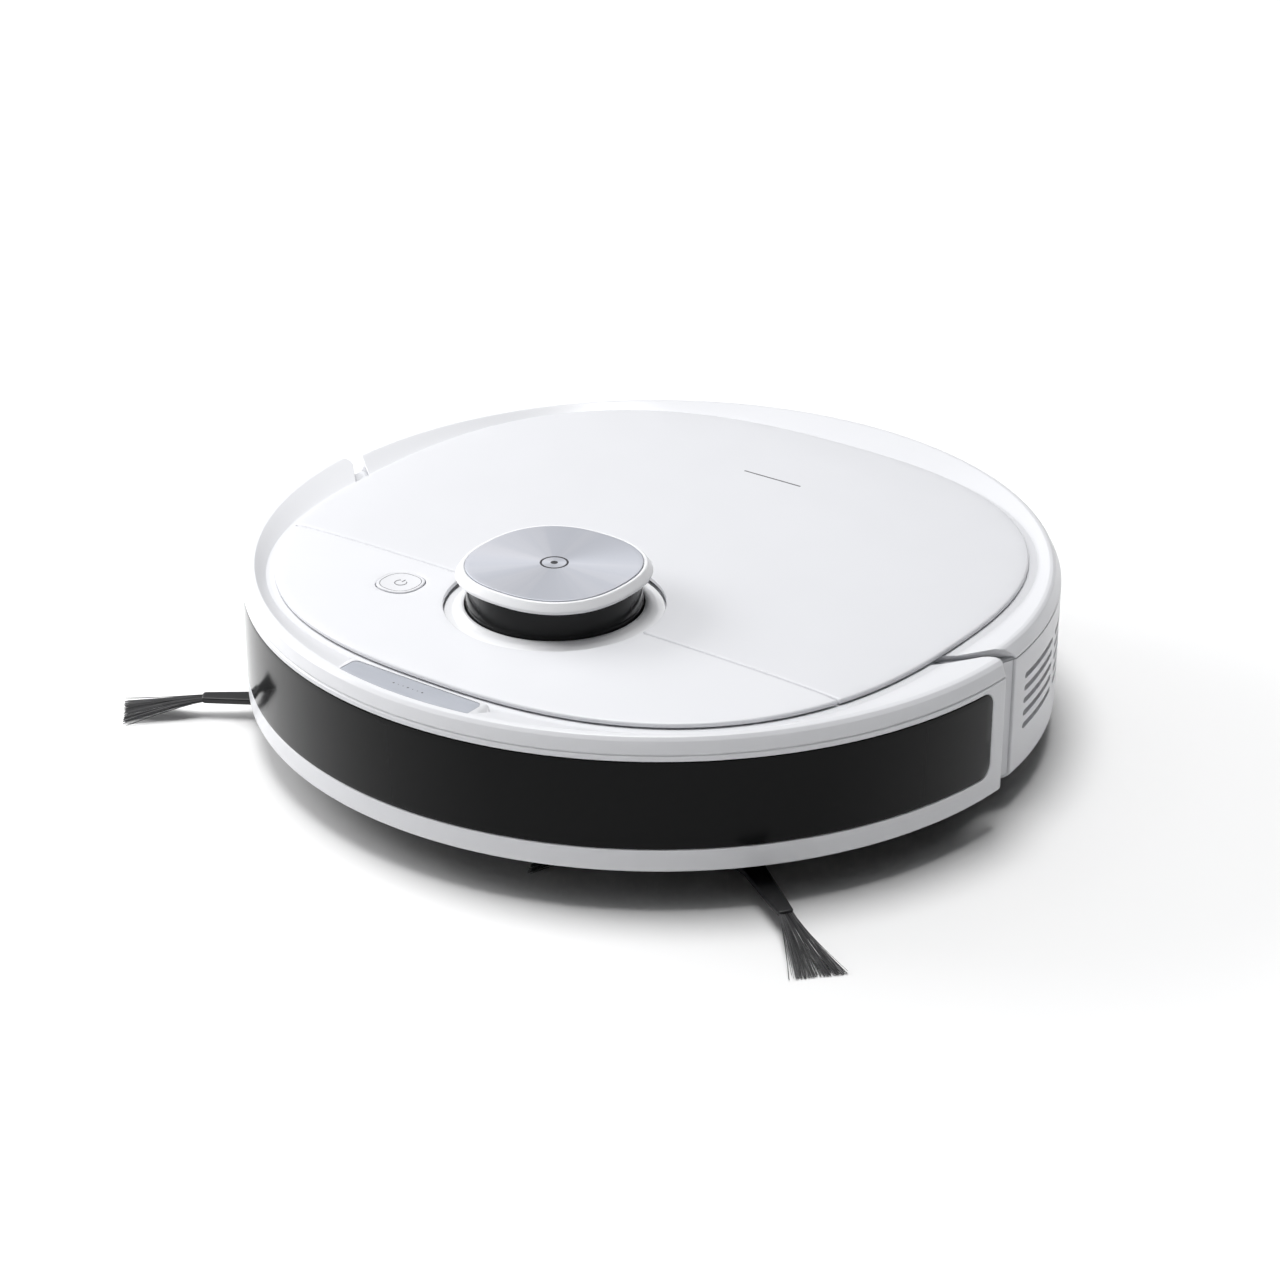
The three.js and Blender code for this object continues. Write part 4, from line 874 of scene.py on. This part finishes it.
def build_upper_housing():
    bottom = node_box("rear_wall")[1][2] + 0.4
    r = BODY_RADIUS
    profile = rounded([
        (139, bottom, 0.2), (r, bottom, 0.35), (r - 0.2, bottom + 1, 0.6), (r - 2.6, CREST_Z - 0.9, 1.8),
        (r - 3.8, CREST_Z - 0.2, 1.0), (REAR_CREST, CREST_Z, 2.5), (LEDGE_NOMINAL, LEDGE_Z, 1.2),
        (140, LEDGE_Z - 0.2, 0.3),
    ], 5, 2.5)
    rim = new_object("upper_housing_fine", rim_sweep(profile, REAR_CREST, REAR_END, False, 400, 0.9, r - 2))
    bin_low, bin_high = node_box("dust_bin")
    bay_sides = bin_low[0] - 3, bin_high[0] + 3, bin_low[1] - 2
    loops = [
        circle(r - 6.5, count=240), rectangle(*bay_sides, bin_high[1] + 3, 6),
        circle(TURRET_HOLE - 1.4, 0, TURRET_Y),
    ]
    deck_top = bottom + 0.8
    combined(rim, stacked(loops, fillet_levels(0.5, deck_top, deck_top - 2.5), 6.0), "UNION")
    corners = rectangle(*bay_sides, bin_high[1] + 1.2, 2)  # the bin's rear corners pass the rim's foot
    combined(rim, plate(corners, bottom - 1, CREST_Z, 6.0, 0.2), "DIFFERENCE")
    piece(rim, "chassis", "white_shell", "upper_housing")
    build_hinge_cradles(deck_top)


def build_hinge_cradles(deck_top):
    """Two small posts that hold the lid's hinge pins."""
    shapes = []
    for side in ("left", "right"):
        x = node_centre(f"hinge_pin_{side}")[0]
        outline = rectangle(x - 2.7, x + 2.7, HINGE_Y - 0.2, HINGE_Y + 1.6, 0.5, 2.0)
        shapes.append(plate(outline, deck_top - 0.1, HINGE_Z - 1.0, 2.0, 0.4))
    extra("hinge_cradles", joined(*shapes), "chassis", "white_shell")


# ---------- front cover, lid and button ----------

def panel_arc(start, end, count):
    """Points on the panel's edge between two angles round the body."""
    angles = np.linspace(start, end, count)
    return polar(panel_radius(angles), angles)


def edge_angle(y):
    """Angle round the body at which the panel's edge crosses a line of constant y, on the +X side."""
    return bisected(0.0, math.pi, lambda angle: -float(panel_radius(angle)) * math.cos(angle) < y)


def panel_part(rim, hole, y, hole_corner):
    """Outline of a part of the top panel: an outer rim, and a straight edge with the turret's hole."""
    rim_x, hole_x = rim[-1][0], hole[0][0]
    first = [(rim_x, y, 1.8), (hole_x, y, hole_corner)]
    last = [(-hole_x, y, hole_corner), (-rim_x, y, 1.8)]
    curves = [[(px, py, 0) for px, py in curve[1:-1]] for curve in (rim, hole)]
    return rounded(curves[0] + first + curves[1] + last, 6, 2.5)


def turret_arc(start, end):
    return polar(TURRET_HOLE, np.linspace(start, end, 90)) + (0, TURRET_Y)


def cover_outline():
    end = edge_angle(COVER_BACK)
    turn = math.acos((TURRET_Y - COVER_BACK) / TURRET_HOLE)
    return panel_part(panel_arc(-end, end, 260), turret_arc(turn, -turn), COVER_BACK, 0.9)


def lid_outline():
    front = HINGE_Y - 1.75
    end = edge_angle(front)
    turn = math.acos((TURRET_Y - front) / TURRET_HOLE)
    rim = panel_arc(end, 2 * math.pi - end, 420)
    return panel_part(rim, turret_arc(2 * math.pi - turn, turn), front, 1.7)


def panel_fillet(points):
    """Edge radius of the top panel: soft round the outside, crisp at the turret hole."""
    share = np.hypot(points[:, 0], points[:, 1]) / panel_radius(np.arctan2(points[:, 0], -points[:, 1]))
    return 0.45 + 0.55 * np.clip((share - 0.96) / 0.03, 0, 1)


def lid_fillet(points):
    """As the panel's, but as round as the hinge needs along the lid's front edge."""
    front = np.clip((HINGE_Y - 0.9 - points[:, 1]) / 0.6, 0, 1)
    return panel_fillet(points) * (1 - front) + 1.55 * front


def panel_underside(points):
    return panel_top(points) - PANEL_THICK


def build_front_cover():
    hole = squircle(9.9, *node_centre("power_button")[:2])
    levels = fillet_levels(panel_fillet, panel_top, panel_underside, 0.15)
    refined("front_cover", stacked([cover_outline(), hole], levels, 3.5), "chassis", "white_cover")


def build_lid():
    """The lid with its two stiffening ribs and the four barrels of its hinge."""
    parts = [stacked([lid_outline()], fillet_levels(lid_fillet, panel_top, panel_underside, 0.15), 4.0)]
    for x in (-84, 84):
        parts.append(plate(rectangle(x - 0.8, x + 0.8, HINGE_Y + 8, 88, 0.6, 4.0), 71.8, 74.2, 4.0))
    for start, end in ((46, 64.4), (71.8, 100)):
        profile = rounded([(0, start, 0), (1.45, start, 0.3), (1.45, end, 0.3), (0, end, 0)], 3, 4.0)
        barrel = along_x(lathe(profile, 32), HINGE_Y, HINGE_Z - 0.25)
        parts += [barrel, mirrored(barrel)]
    refined("lid", joined(*parts), "lid", "lid_white")


def build_lid_mark():
    """A plain bar where a maker would print a name."""
    y = 86.0
    z = float(panel_top(np.array(((0.0, y),)))[0])
    outline = rectangle(-15, 15, -0.45, 0.45, 0.4, 4.0)
    bar = moved(stacked([outline], [(0, z - 0.1), (0, z + 0.015), (0.03, z + 0.03)], 4.0), 0, y)
    extra("lid_mark", bar, "lid", "mark_grey")


def build_button():
    """A dished key with a fine ring and a power symbol: a broken circle and a tick."""
    x, y, _ = node_centre("power_button")
    low, high = node_box("power_button")
    half, top = 9.5, high[2]

    def dished(points):
        share = np.hypot(points[:, 0], points[:, 1]) / half
        return top - 0.35 * np.clip(1 - share ** 2, 0, 1)

    key = stacked([squircle(half)], fillet_levels(0.4, dished, top - 4.5, 0.2, 5), 1.2)
    collar = plate(squircle(10.6), top - 4.3, top - 3.2, 3.0, 0.2, 0.1)
    stem = rod(0, 0, 3, low[2], top - 4.2)
    refined("power_button", moved(joined(key, collar, stem), x, y), "power_button", "white_shell")
    z = top - 0.30
    angles = np.radians(np.linspace(38, 322, 24))
    arc = tube(polar(2.5, angles, z) * (1, -1, 1), 0.16)
    tick = tube([(0, 0.9, z), (0, 2.0, z), (0, 3.1, z)], 0.16)
    extra("button_icon", moved(joined(arc, tick), x, y), "power_button", "mark_grey")
    ring = stacked([squircle(8.3), squircle(8.02)[::-1]], [(0, z), (0, z + 0.24), (0.02, z + 0.26)], 3.0)
    extra("button_ring", moved(ring, x, y), "power_button", "mark_grey")


# ---------- lidar turret ----------

def turret_piece(node, body, material, profile, segments, reshape=None):
    refined(node, moved(lathe(profile, segments, reshape), 0, TURRET_Y), body, material)


def build_turret_well():
    low, high = node_box("turret_well")
    bottom, top = low[2], high[2]
    # the well takes the lighter white: painted light
    turret_piece("turret_well", "chassis", "white_shell_painted_light", rounded([
        (36.9, bottom, 0.2), (49, bottom, 0.2), (49, bottom + 1.4, 0.2), (45.1, bottom + 1.4, 0.2),
        (45.1, top - 3.3, 0.25), (44.4, top - 3.2, 0.4), (42, top - 2.7, 3), (39.5, top - 1.5, 3),
        (37.8, top - 0.2, 1.0), (36.9, top, 0.2),
    ], 6, 1.5), 192)


def build_turret_window():
    low, high = node_box("turret_window")
    inner, foot, outer = high[0] - 1.9, high[0], high[0] - 0.3
    bottom, top = low[2], high[2]
    # the window takes the lighter black: painted reflection
    turret_piece("turret_window", "chassis", "black_gloss_painted_reflection", rounded([
        (inner, bottom, 0.2), (foot, bottom, 0.2), (foot, bottom + 9.2, 0.3), (outer, bottom + 9.8, 0.3),
        (outer, top, 0.2), (inner, top, 0.2),
    ], 4, 1.5), 192)


def build_turret_cap():
    """A rounded square above a round neck, with a recess for the spun plate."""
    low, high = node_box("turret_cap")
    half, bottom, top = high[0], low[2] + 4.5, high[2]
    neck, recess = 33.8, 34.6

    def squared(radius, angle):
        return np.where(radius > neck + 0.1, radius * squircle_scale(angle), radius)

    # the cap takes the lighter white: painted light
    turret_piece("turret_cap", "turret_cap", "white_shell_painted_light", rounded([
        (0, top - 1, 0), (recess, top - 1, 0.1), (recess, top - 0.05, 0.2), (recess + 0.5, top, 0.3),
        (half - 2.2, top, 1.6), (half, top - 3.2, 1.8), (half, bottom, 0.7), (neck, bottom, 0.2),
        (neck, bottom - 4.5, 0.3), (neck - 1.3, bottom - 4.5, 0.3), (neck - 1.3, bottom + 1.5, 0.2),
        (0, bottom + 1.5, 0),
    ], 8, 1.5), 256, squared)


def build_cap_plate():
    """The spun plate, with a generic ring and dot at its centre."""
    low, high = node_box("cap_plate")
    half, bottom, top = high[0], low[2], high[2]
    rim = rounded([(0, bottom, 0), (half, bottom, 0.1), (half, top, 0.22), (0, top, 0)], 5, 2.0)
    shape = lathe(rim, 256, lambda radius, angle: radius * squircle_scale(angle))
    plate_object = new_object("cap_plate_fine", moved(shape, 0, TURRET_Y), BODY_CENTRE + (0, TURRET_Y, 0))
    piece(plate_object, "turret_cap", "spun_plate", "cap_plate")
    low_z, high_z = top - 0.1, top + 0.03
    ring = rounded([(5.0, low_z, 0), (5.9, low_z, 0), (5.9, high_z, 0.02), (5.0, high_z, 0.02)], 2)
    mark = joined(lathe(ring, 64), rod(0, 0, 1.5, low_z, high_z, 32, 0.02))
    extra("cap_mark", moved(mark, 0, TURRET_Y), "turret_cap", "mark_dark")


# ---------- side brushes ----------

SIDE_HUB = 10.5
ARM_REACH = 48.0
TUFT_REACH = 82.0
ARMS = 3
STRANDS = 150


def tuft_heading(side, number, hub):
    """Direction from the hub in which a bristle fan sits in the frame."""
    fan = node_centre(f"bristles_{side}_{number}")
    return math.atan2(fan[1] - hub[1], fan[0] - hub[0])


def star_outline():
    """Plan of the three arms and the hub between them, the first arm along +X."""
    end, valley = ARM_REACH - 0.4, 0.8 * SIDE_HUB
    between = math.pi / ARMS
    corners = []
    for i in range(ARMS):
        c, s = math.cos(2 * between * i), math.sin(2 * between * i)
        for x, y, radius in (
            (14, -4.6, 5), (38, -3.6, 6), (end, -3.1, 1.4), (end, 3.1, 1.4), (38, 3.6, 6), (14, 4.6, 5),
            (valley * math.cos(between), valley * math.sin(between), 7),
        ):
            corners.append((x * c - y * s, x * s + y * c, radius))
    return rounded(corners, 6, 2.5)


def build_side_brush(side):
    hub = joint_place(f"side_brush_{side}_spin")
    body = f"side_brush_{side}"
    low, top = (corner[2] for corner in node_box(body))
    arms = plate(star_outline(), low + 0.6, low + 3.4, 3.0, 0.7, 0.7)
    centre = lathe(rounded([
        (0, low + 0.9, 0), (3.6, low + 0.9, 0.2), (4.0, low, 0.2), (SIDE_HUB - 1, low, 1.2),
        (SIDE_HUB, low + 1.5, 1.0), (SIDE_HUB, low + 5.5, 0.8), (3.5, low + 5.5, 0.3), (3.5, top, 0.5),
        (0, top, 0),
    ], 4), 64)
    heading = math.degrees(tuft_heading(side, 1, hub))
    refined(body, moved(turned(joined(arms, centre), heading), hub[0], hub[1]), body, "arm_black")
    for number in range(1, ARMS + 1):
        build_tuft(side, number, hub)


def build_tuft(side, number, hub):
    """A fan of nylon strands: bunched flat at the arm's end, curving out and down to the floor."""
    node = f"bristles_{side}_{number}"
    top = node_box(node)[1][2]
    heading = math.degrees(tuft_heading(side, number, hub))
    handed, seed = (1, 3) if side == "right" else (-1, 7)
    random = np.random.default_rng(100 * number + seed)
    strands = []
    steps = np.linspace(0, 1, 8)
    for _ in range(STRANDS):
        across = random.uniform(-1, 1)
        depth = random.uniform(-1, 1)
        root_side = across * 2.7
        spread = 10.5 * across + 1.2 * random.normal()
        reach = TUFT_REACH + 1.5 * across - 2.2 * random.random() ** 2
        bend = 1.35 + 0.25 * across
        along = ARM_REACH - 1.4 + (reach - ARM_REACH + 1.4) * steps
        side_way = root_side + (spread - root_side) * steps ** bend
        drop = top - 0.9 + depth * 0.5 - (top - 1.6) * steps ** 1.25
        height = np.maximum(drop, 0.25 + 0.4 * random.random())
        radii = random.uniform(0.13, 0.2) * (1 - 0.45 * steps)
        strands.append(tube(np.stack((along, side_way * handed, height), axis=1), radii, 4))
    shape = moved(turned(joined(*strands), heading), hub[0], hub[1])
    piece(new_object(f"{node}_strands", shape), f"side_brush_{side}", "bristle_grey", node, angle=60)


# ---------- wheels ----------

def tyre_surface(radius):
    """A tyre's tread as a height field: chevron lugs round a drum."""
    half_width, depth, lugs, rows, turns = 11, 1.1, 26, 45, 416
    xs = np.linspace(-half_width, half_width, rows)
    inner, wall = radius - 5.0, half_width - 0.6
    rings = []
    for a in np.arange(turns) * 2 * math.pi / turns:
        chevron = (a * lugs / (2 * math.pi) + np.abs(xs) / half_width * 0.55) % 1.0
        raised = np.clip((np.abs(chevron - 0.5) - 0.19) / 0.05, 0, 1)
        groove = np.clip((np.abs(xs) - 0.8) / 0.5, 0, 1)
        shoulder = np.clip((half_width - np.abs(xs)) / 1.6, 0, 1)
        reach = radius - depth + depth * raised * groove - 1.3 * (1 - np.sqrt(1 - (1 - shoulder) ** 2))
        rings.append(spoke(a, (*reach, inner, inner), (*xs, wall, -wall)))
    return np.concatenate(rings), ring_faces(turns, rows + 2, True)


def spoke(angle, radii, heights):
    """One radial slice of a wheel that is drawn round the vertical axis."""
    radii = np.array(radii)
    return np.stack((radii * math.cos(angle), radii * math.sin(angle), heights), axis=1)


def hub_disc():
    """A dished wheel disc with six ribs, as a height field on one face."""
    bore, outer, depth, half, turns = 3.4, 26.7, 4, 10, 120
    radii = np.concatenate((
        np.linspace(bore, 9, 8), np.linspace(9.6, outer - 5, 16), np.linspace(outer - 4.4, outer, 6),
    ))
    dish = np.where((radii > 9.2) & (radii < outer - 4.6), -depth, 0.0)
    rings = []
    for i in range(turns):
        rib = max(0.0, 1 - abs((i * 6 / turns) % 1.0 - 0.5) / 0.09)
        front = half + dish * (1 - min(1.0, 1.6 * rib))
        rings.append(spoke(2 * math.pi * i / turns, (*radii, outer, bore), (*front, -half, -half)))
    return np.concatenate(rings), ring_faces(turns, len(radii) + 2, True)


def on_axle(shape, centre):
    """A shape drawn round the vertical axis, set on an axle along X."""
    return moved(along_x(shape, centre[1], centre[2]), centre[0])


def build_wheel(side):
    low, high = node_box(f"tyre_{side}")
    centre = (low + high) / 2
    tyre = on_axle(tyre_surface((high[2] - low[2]) / 2), centre)
    refined(f"tyre_{side}", tyre, f"wheel_{side}", "tyre", 40)
    points, faces = hub_disc()
    outward = 1 if side == "right" else -1
    hub = on_axle((points * (1, 1, outward), faces), centre)
    refined(f"wheel_hub_{side}", hub, f"wheel_{side}", "grey_plastic")


def build_caster_wheel():
    low, high = node_box("caster_wheel")
    half, radius = (high[0] - low[0]) / 2, (high[2] - low[2]) / 2
    profile = rounded([
        (1.8, -half, 0.3), (radius - 4, -half, 0.6), (radius - 3, -half + 0.8, 0.5),
        (radius - 2, -half, 0.8),
        (radius, 0.5 - half / 3, 3), (radius, half / 3 - 0.5, 3), (radius - 2, half, 0.8),
        (radius - 3, half - 0.8, 0.5), (radius - 4, half, 0.6), (1.8, half, 0.3),
    ], 5, 1.5)
    refined("caster_wheel", on_axle(lathe(profile, 96), (low + high) / 2), "caster_roller", "rubber_black")


def build_spring(side):
    low, high = node_box(f"wheel_spring_{side}")
    centre = (low + high) / 2
    turns, wire = 4.5, 0.45
    steps = np.linspace(0, 1, 220)
    angle = steps * turns * 2 * math.pi
    radius = (high[2] - low[2]) / 2 - wire
    x = low[0] + wire + (high[0] - low[0] - 2 * wire) * steps
    path = np.stack((x, centre[1] + radius * np.cos(angle), centre[2] + radius * np.sin(angle)), axis=1)
    refined(f"wheel_spring_{side}", tube(path, wire, 8), "chassis", "steel")


# ---------- main brush ----------

def build_main_brush():
    """Five blades on a sleeve, swept into chevrons that meet in the middle."""
    low, high = node_box("brush_bristles")
    half, reach = (high[0] - low[0]) / 2, (high[2] - low[2]) / 2
    sleeve, foot, neck = 11.3, 12.5, reach - 0.8
    blades, rows, sweep = 5, 72, math.radians(70)
    section = (
        (sleeve, -0.62), (sleeve, -0.16), (foot, -0.10), (neck, -0.055), (reach, -0.03), (reach, 0.03),
        (neck, 0.055), (foot, 0.10), (sleeve, 0.16), (sleeve, 0.38),
    )
    radii, angles = np.array([
        (radius, i * 2 * math.pi / blades + offset) for i in range(blades) for radius, offset in section
    ]).T
    rings = []
    for x in np.linspace(-half, half, rows):
        turn = angles + abs(x) / half * sweep
        rings.append(np.stack((radii * np.cos(turn), radii * np.sin(turn), np.full(len(turn), x)), axis=1))
    shape = capped(rings, np.stack((radii * np.cos(angles), radii * np.sin(angles)), axis=1))
    _, y, z = joint_place("brush_spin")
    blades_object = new_object("brush_blades_fine", on_axle(shape, ((low[0] + high[0]) / 2, y, z)))
    piece(blades_object, "main_brush", "rubber_black", "brush_bristles", angle=28)


# ---------- base pan ----------

def recess(outline, bottom, top, flare):
    """Cutter for an opening in the pan, flared at the underside."""
    levels = [(-flare - 0.4, bottom - 1), (-flare, bottom - 0.01), (0, bottom + flare), (0, top)]
    return stacked([outline], levels, 6.0)


def seat(name, corner, bottom, top):
    """Cutter for the opening or the seat of a flat CAD part."""
    low, high = node_box(name)
    margin = 0.3
    sides = low[0] - margin, high[0] + margin, low[1] - margin, high[1] + margin
    return recess(rectangle(*sides, corner, 5.0), bottom, top, 0.3)


def build_base_pan():
    low, high = node_box("base_pan")
    bottom, wall_top, wall = low[2], 66.0, high[0]
    pan = new_object("base_pan_fine", lathe(rounded([
        (0, bottom, 0), (150, bottom, 6), (wall - 1.5, bottom + 3, 2), (wall, bottom + 5, 1),
        (wall, wall_top, 0.3), (wall - 2, wall_top, 0.3), (wall - 2, bottom + 5.8, 1),
        (149, bottom + 2.5, 3), (0, bottom + 2.5, 0),
    ], 5, 12.0), 240))
    for cutter in pan_cutters(bottom, bottom + 8):
        combined(pan, cutter, "DIFFERENCE")
    x, y, _ = joint_place("caster_swivel")
    cup = lathe(rounded([
        (0, 29.5, 0), (20.5, 29.5, 1), (20.5, bottom - 0.2, 0.5), (22.3, bottom - 0.2, 0.5),
        (22.3, 31.5, 0.5), (0, 31.5, 0),
    ], 4, 3.0), 96)
    combined(pan, plate(circle(21.4, x, y), bottom - 2, bottom + 8, 6.0), "DIFFERENCE")
    combined(pan, moved(cup, x, y), "UNION")
    combined(pan, plate(circle(4.3, x, y, 48), 20, 40, 6.0), "DIFFERENCE")
    piece(pan, "chassis", "black_base", "base_pan")
    build_pan_details(bottom)


def pan_cutters(bottom, top):
    """Openings for the battery cover, main brush, its gears, the wheels and the side brush shafts."""
    yield seat("battery_cover", 1.0, bottom, top)
    yield recess(rectangle(-84.6, 84.6, -15, 38, 2, 5.0), bottom, top, 0.2)
    yield recess(rectangle(-98, -83.5, 0.3, 58, 2, 5.0), bottom, top, 0.2)
    for side, left_gap, right_gap in (("left", 2.5, 5.8), ("right", 5.8, 2.5)):
        low, high = node_box(f"tyre_{side}")
        yield recess(rectangle(low[0] - left_gap, high[0] + right_gap, -34.4, 38, 3, 5.0), bottom, top, 0.8)
        yield seat(f"charge_contact_{side}", 0.8, bottom, bottom + 1.2)
        yield seat(f"cliff_window_{side}", 0.8, bottom, bottom + 1.4)
        hub = joint_place(f"side_brush_{side}_spin")
        yield recess(circle(4.2, hub[0], hub[1], 48), bottom, top, 0.4)


def build_pan_details(bottom):
    """Screw heads in shallow rings, and strengthening ribs on the underside."""
    upper, lower = bottom + 0.3, bottom - 0.45
    profile = [(2.9, lower, 0.15), (4.4, lower, 0.2), (4.4, upper, 0.1), (2.9, upper, 0.1)]
    ring = lathe(rounded(profile, 3), 40)
    screw = joined(ring, rod(0, 0, 2.6, bottom - 0.25, upper, 24, 0.25))
    shapes = []
    for x, y in ((140, 60), (95, 118), (0, 150), (140, -55), (30, -152), (70, -30)):
        shapes += [moved(screw, side * x, y) for side in ((-1, 1) if x else (1,))]
    for i in range(5):
        outline = rectangle(-46, 46, 56 + i * 14, 57.2 + i * 14, 0.5, 5.0)
        shapes.append(stacked([outline], [(0.3, bottom - 0.5), (0, bottom - 0.2), (0, upper)], 5.0))
    extra("pan_details", joined(*shapes), "chassis", "black_base")


# ---------- carried-over CAD nodes ----------

def finish_cad_nodes():
    """Every CAD node gets its slot's material; each one that stays also gets welded and softened edges."""
    slots = {part["node"]: part["material_slot"] for part in frame["record"]["subparts"]}
    for name, node in frame["nodes"].items():
        material = MATERIALS[slots[name]]
        if not node.material_slots:
            node.data.materials.append(material)
        for entry in node.material_slots:
            entry.material = material
        if node.hide_render:
            continue
        weld = node.modifiers.new("weld", "WELD")
        weld.merge_threshold = 1e-5
        bevel = node.modifiers.new("soft_edges", "BEVEL")
        bevel.width = 0.3 * MM
        bevel.segments = 2
        bevel.limit_method = "ANGLE"
        bevel.angle_limit = math.radians(35)
        bevel.use_clamp_overlap = True


# ---------- stage ----------

def build_floor():
    reach = 20000.0
    corners = np.array(((-1, -1, 0), (1, -1, 0), (1, 1, 0), (-1, 1, 0))) * reach
    floor = new_object("floor", (corners, [(0, 1, 2, 3)]))
    nodes = Nodes("floor")
    nodes.colour(nodes.noise(400, 2), (0.88, 0.88, 0.88), (0.89, 0.89, 0.89))
    nodes.set(Roughness=1.0, Specular_IOR_Level=0.0)
    floor.data.materials.append(nodes.material)


def build_world():
    """A dim white studio, brighter overhead and towards the object's left."""
    world = bpy.data.worlds.new("studio")
    SCENE.world = world
    world.use_nodes = True
    tree = world.node_tree
    background = tree.nodes["Background"]
    direction = tree.nodes.new("ShaderNodeTexCoord").outputs["Generated"]

    def facing(vector):
        node = tree.nodes.new("ShaderNodeVectorMath")
        node.operation = "DOT_PRODUCT"
        node.inputs[1].default_value = vector
        tree.links.new(direction, node.inputs[0])
        return node.outputs["Value"]

    def ranged(source, low, high, new_low, new_high):
        node = tree.nodes.new("ShaderNodeMapRange")
        node.interpolation_type = "SMOOTHSTEP"
        tree.links.new(source, node.inputs["Value"])
        for key, value in zip(("From Min", "From Max", "To Min", "To Max"), (low, high, new_low, new_high)):
            node.inputs[key].default_value = value
        return node.outputs["Result"]

    overhead = ranged(facing((-0.15, 0.0, 0.99)), 0.55, 1.0, 0.02, 0.42)
    left = ranged(facing((-0.93, -0.2, 0.3)), 0.25, 1.0, 0.0, 0.55)
    total = tree.nodes.new("ShaderNodeMath")
    tree.links.new(overhead, total.inputs[0])
    tree.links.new(left, total.inputs[1])
    tree.links.new(total.outputs[0], background.inputs["Strength"])
    background.inputs["Color"].default_value = (0.985, 0.99, 1.0, 1.0)


def placed(data, back, place=(0, 0, 0)):
    """A light or a camera, its back turned along a direction; place is in millimetres."""
    obj = bpy.data.objects.new(data.name, data)
    obj.location = Vector(place) * MM
    obj.rotation_euler = Vector(back).to_track_quat("Z", "Y").to_euler()
    SCENE.collection.objects.link(obj)
    return obj


def build_lights():
    """A broad key from near overhead, and a low softbox on the left that lights the window's near end."""
    key = bpy.data.lights.new("key", "SUN")
    key.energy, key.angle = 2.5, math.radians(32)
    placed(key, (-0.13, 0.05, 1.0))
    softbox = bpy.data.lights.new("softbox", "AREA")
    softbox.shape = "RECTANGLE"
    softbox.size, softbox.size_y = 0.8, 0.4
    softbox.energy = 7.5
    place, aim = (-1000, -190, 520), (-230, -60, 0)
    placed(softbox, np.subtract(place, aim), place)


def build_camera():
    """The photographed view: from the front right, a little above."""
    azimuth, elevation, distance = math.radians(36.4), math.radians(26.17), 1349.3
    aim = Vector((5.4, -19.9, 40.0)) + Vector(BODY_CENTRE)
    across = math.cos(elevation)
    back = Vector((math.sin(azimuth) * across, -math.cos(azimuth) * across, math.sin(elevation)))
    camera = bpy.data.cameras.new("camera")
    camera.sensor_width, camera.lens = 36, 89.86
    camera.clip_start, camera.clip_end = 0.05, 100
    SCENE.camera = placed(camera, back, aim + back * distance)


def build_stage():
    SCENE.view_settings.view_transform = "Standard"
    build_floor()
    build_world()
    build_lights()
    build_camera()


# ---------- the whole object ----------

def build_robot():
    build_bumper()
    build_label()
    build_rear_wall()
    build_upper_housing()
    build_front_cover()
    build_lid()
    build_lid_mark()
    build_button()
    build_turret_well()
    build_turret_window()
    build_turret_cap()
    build_cap_plate()
    for side in ("left", "right"):
        build_side_brush(side)
        build_wheel(side)
        build_spring(side)
    build_caster_wheel()
    build_main_brush()
    build_base_pan()
    finish_cad_nodes()


build_robot()
build_stage()
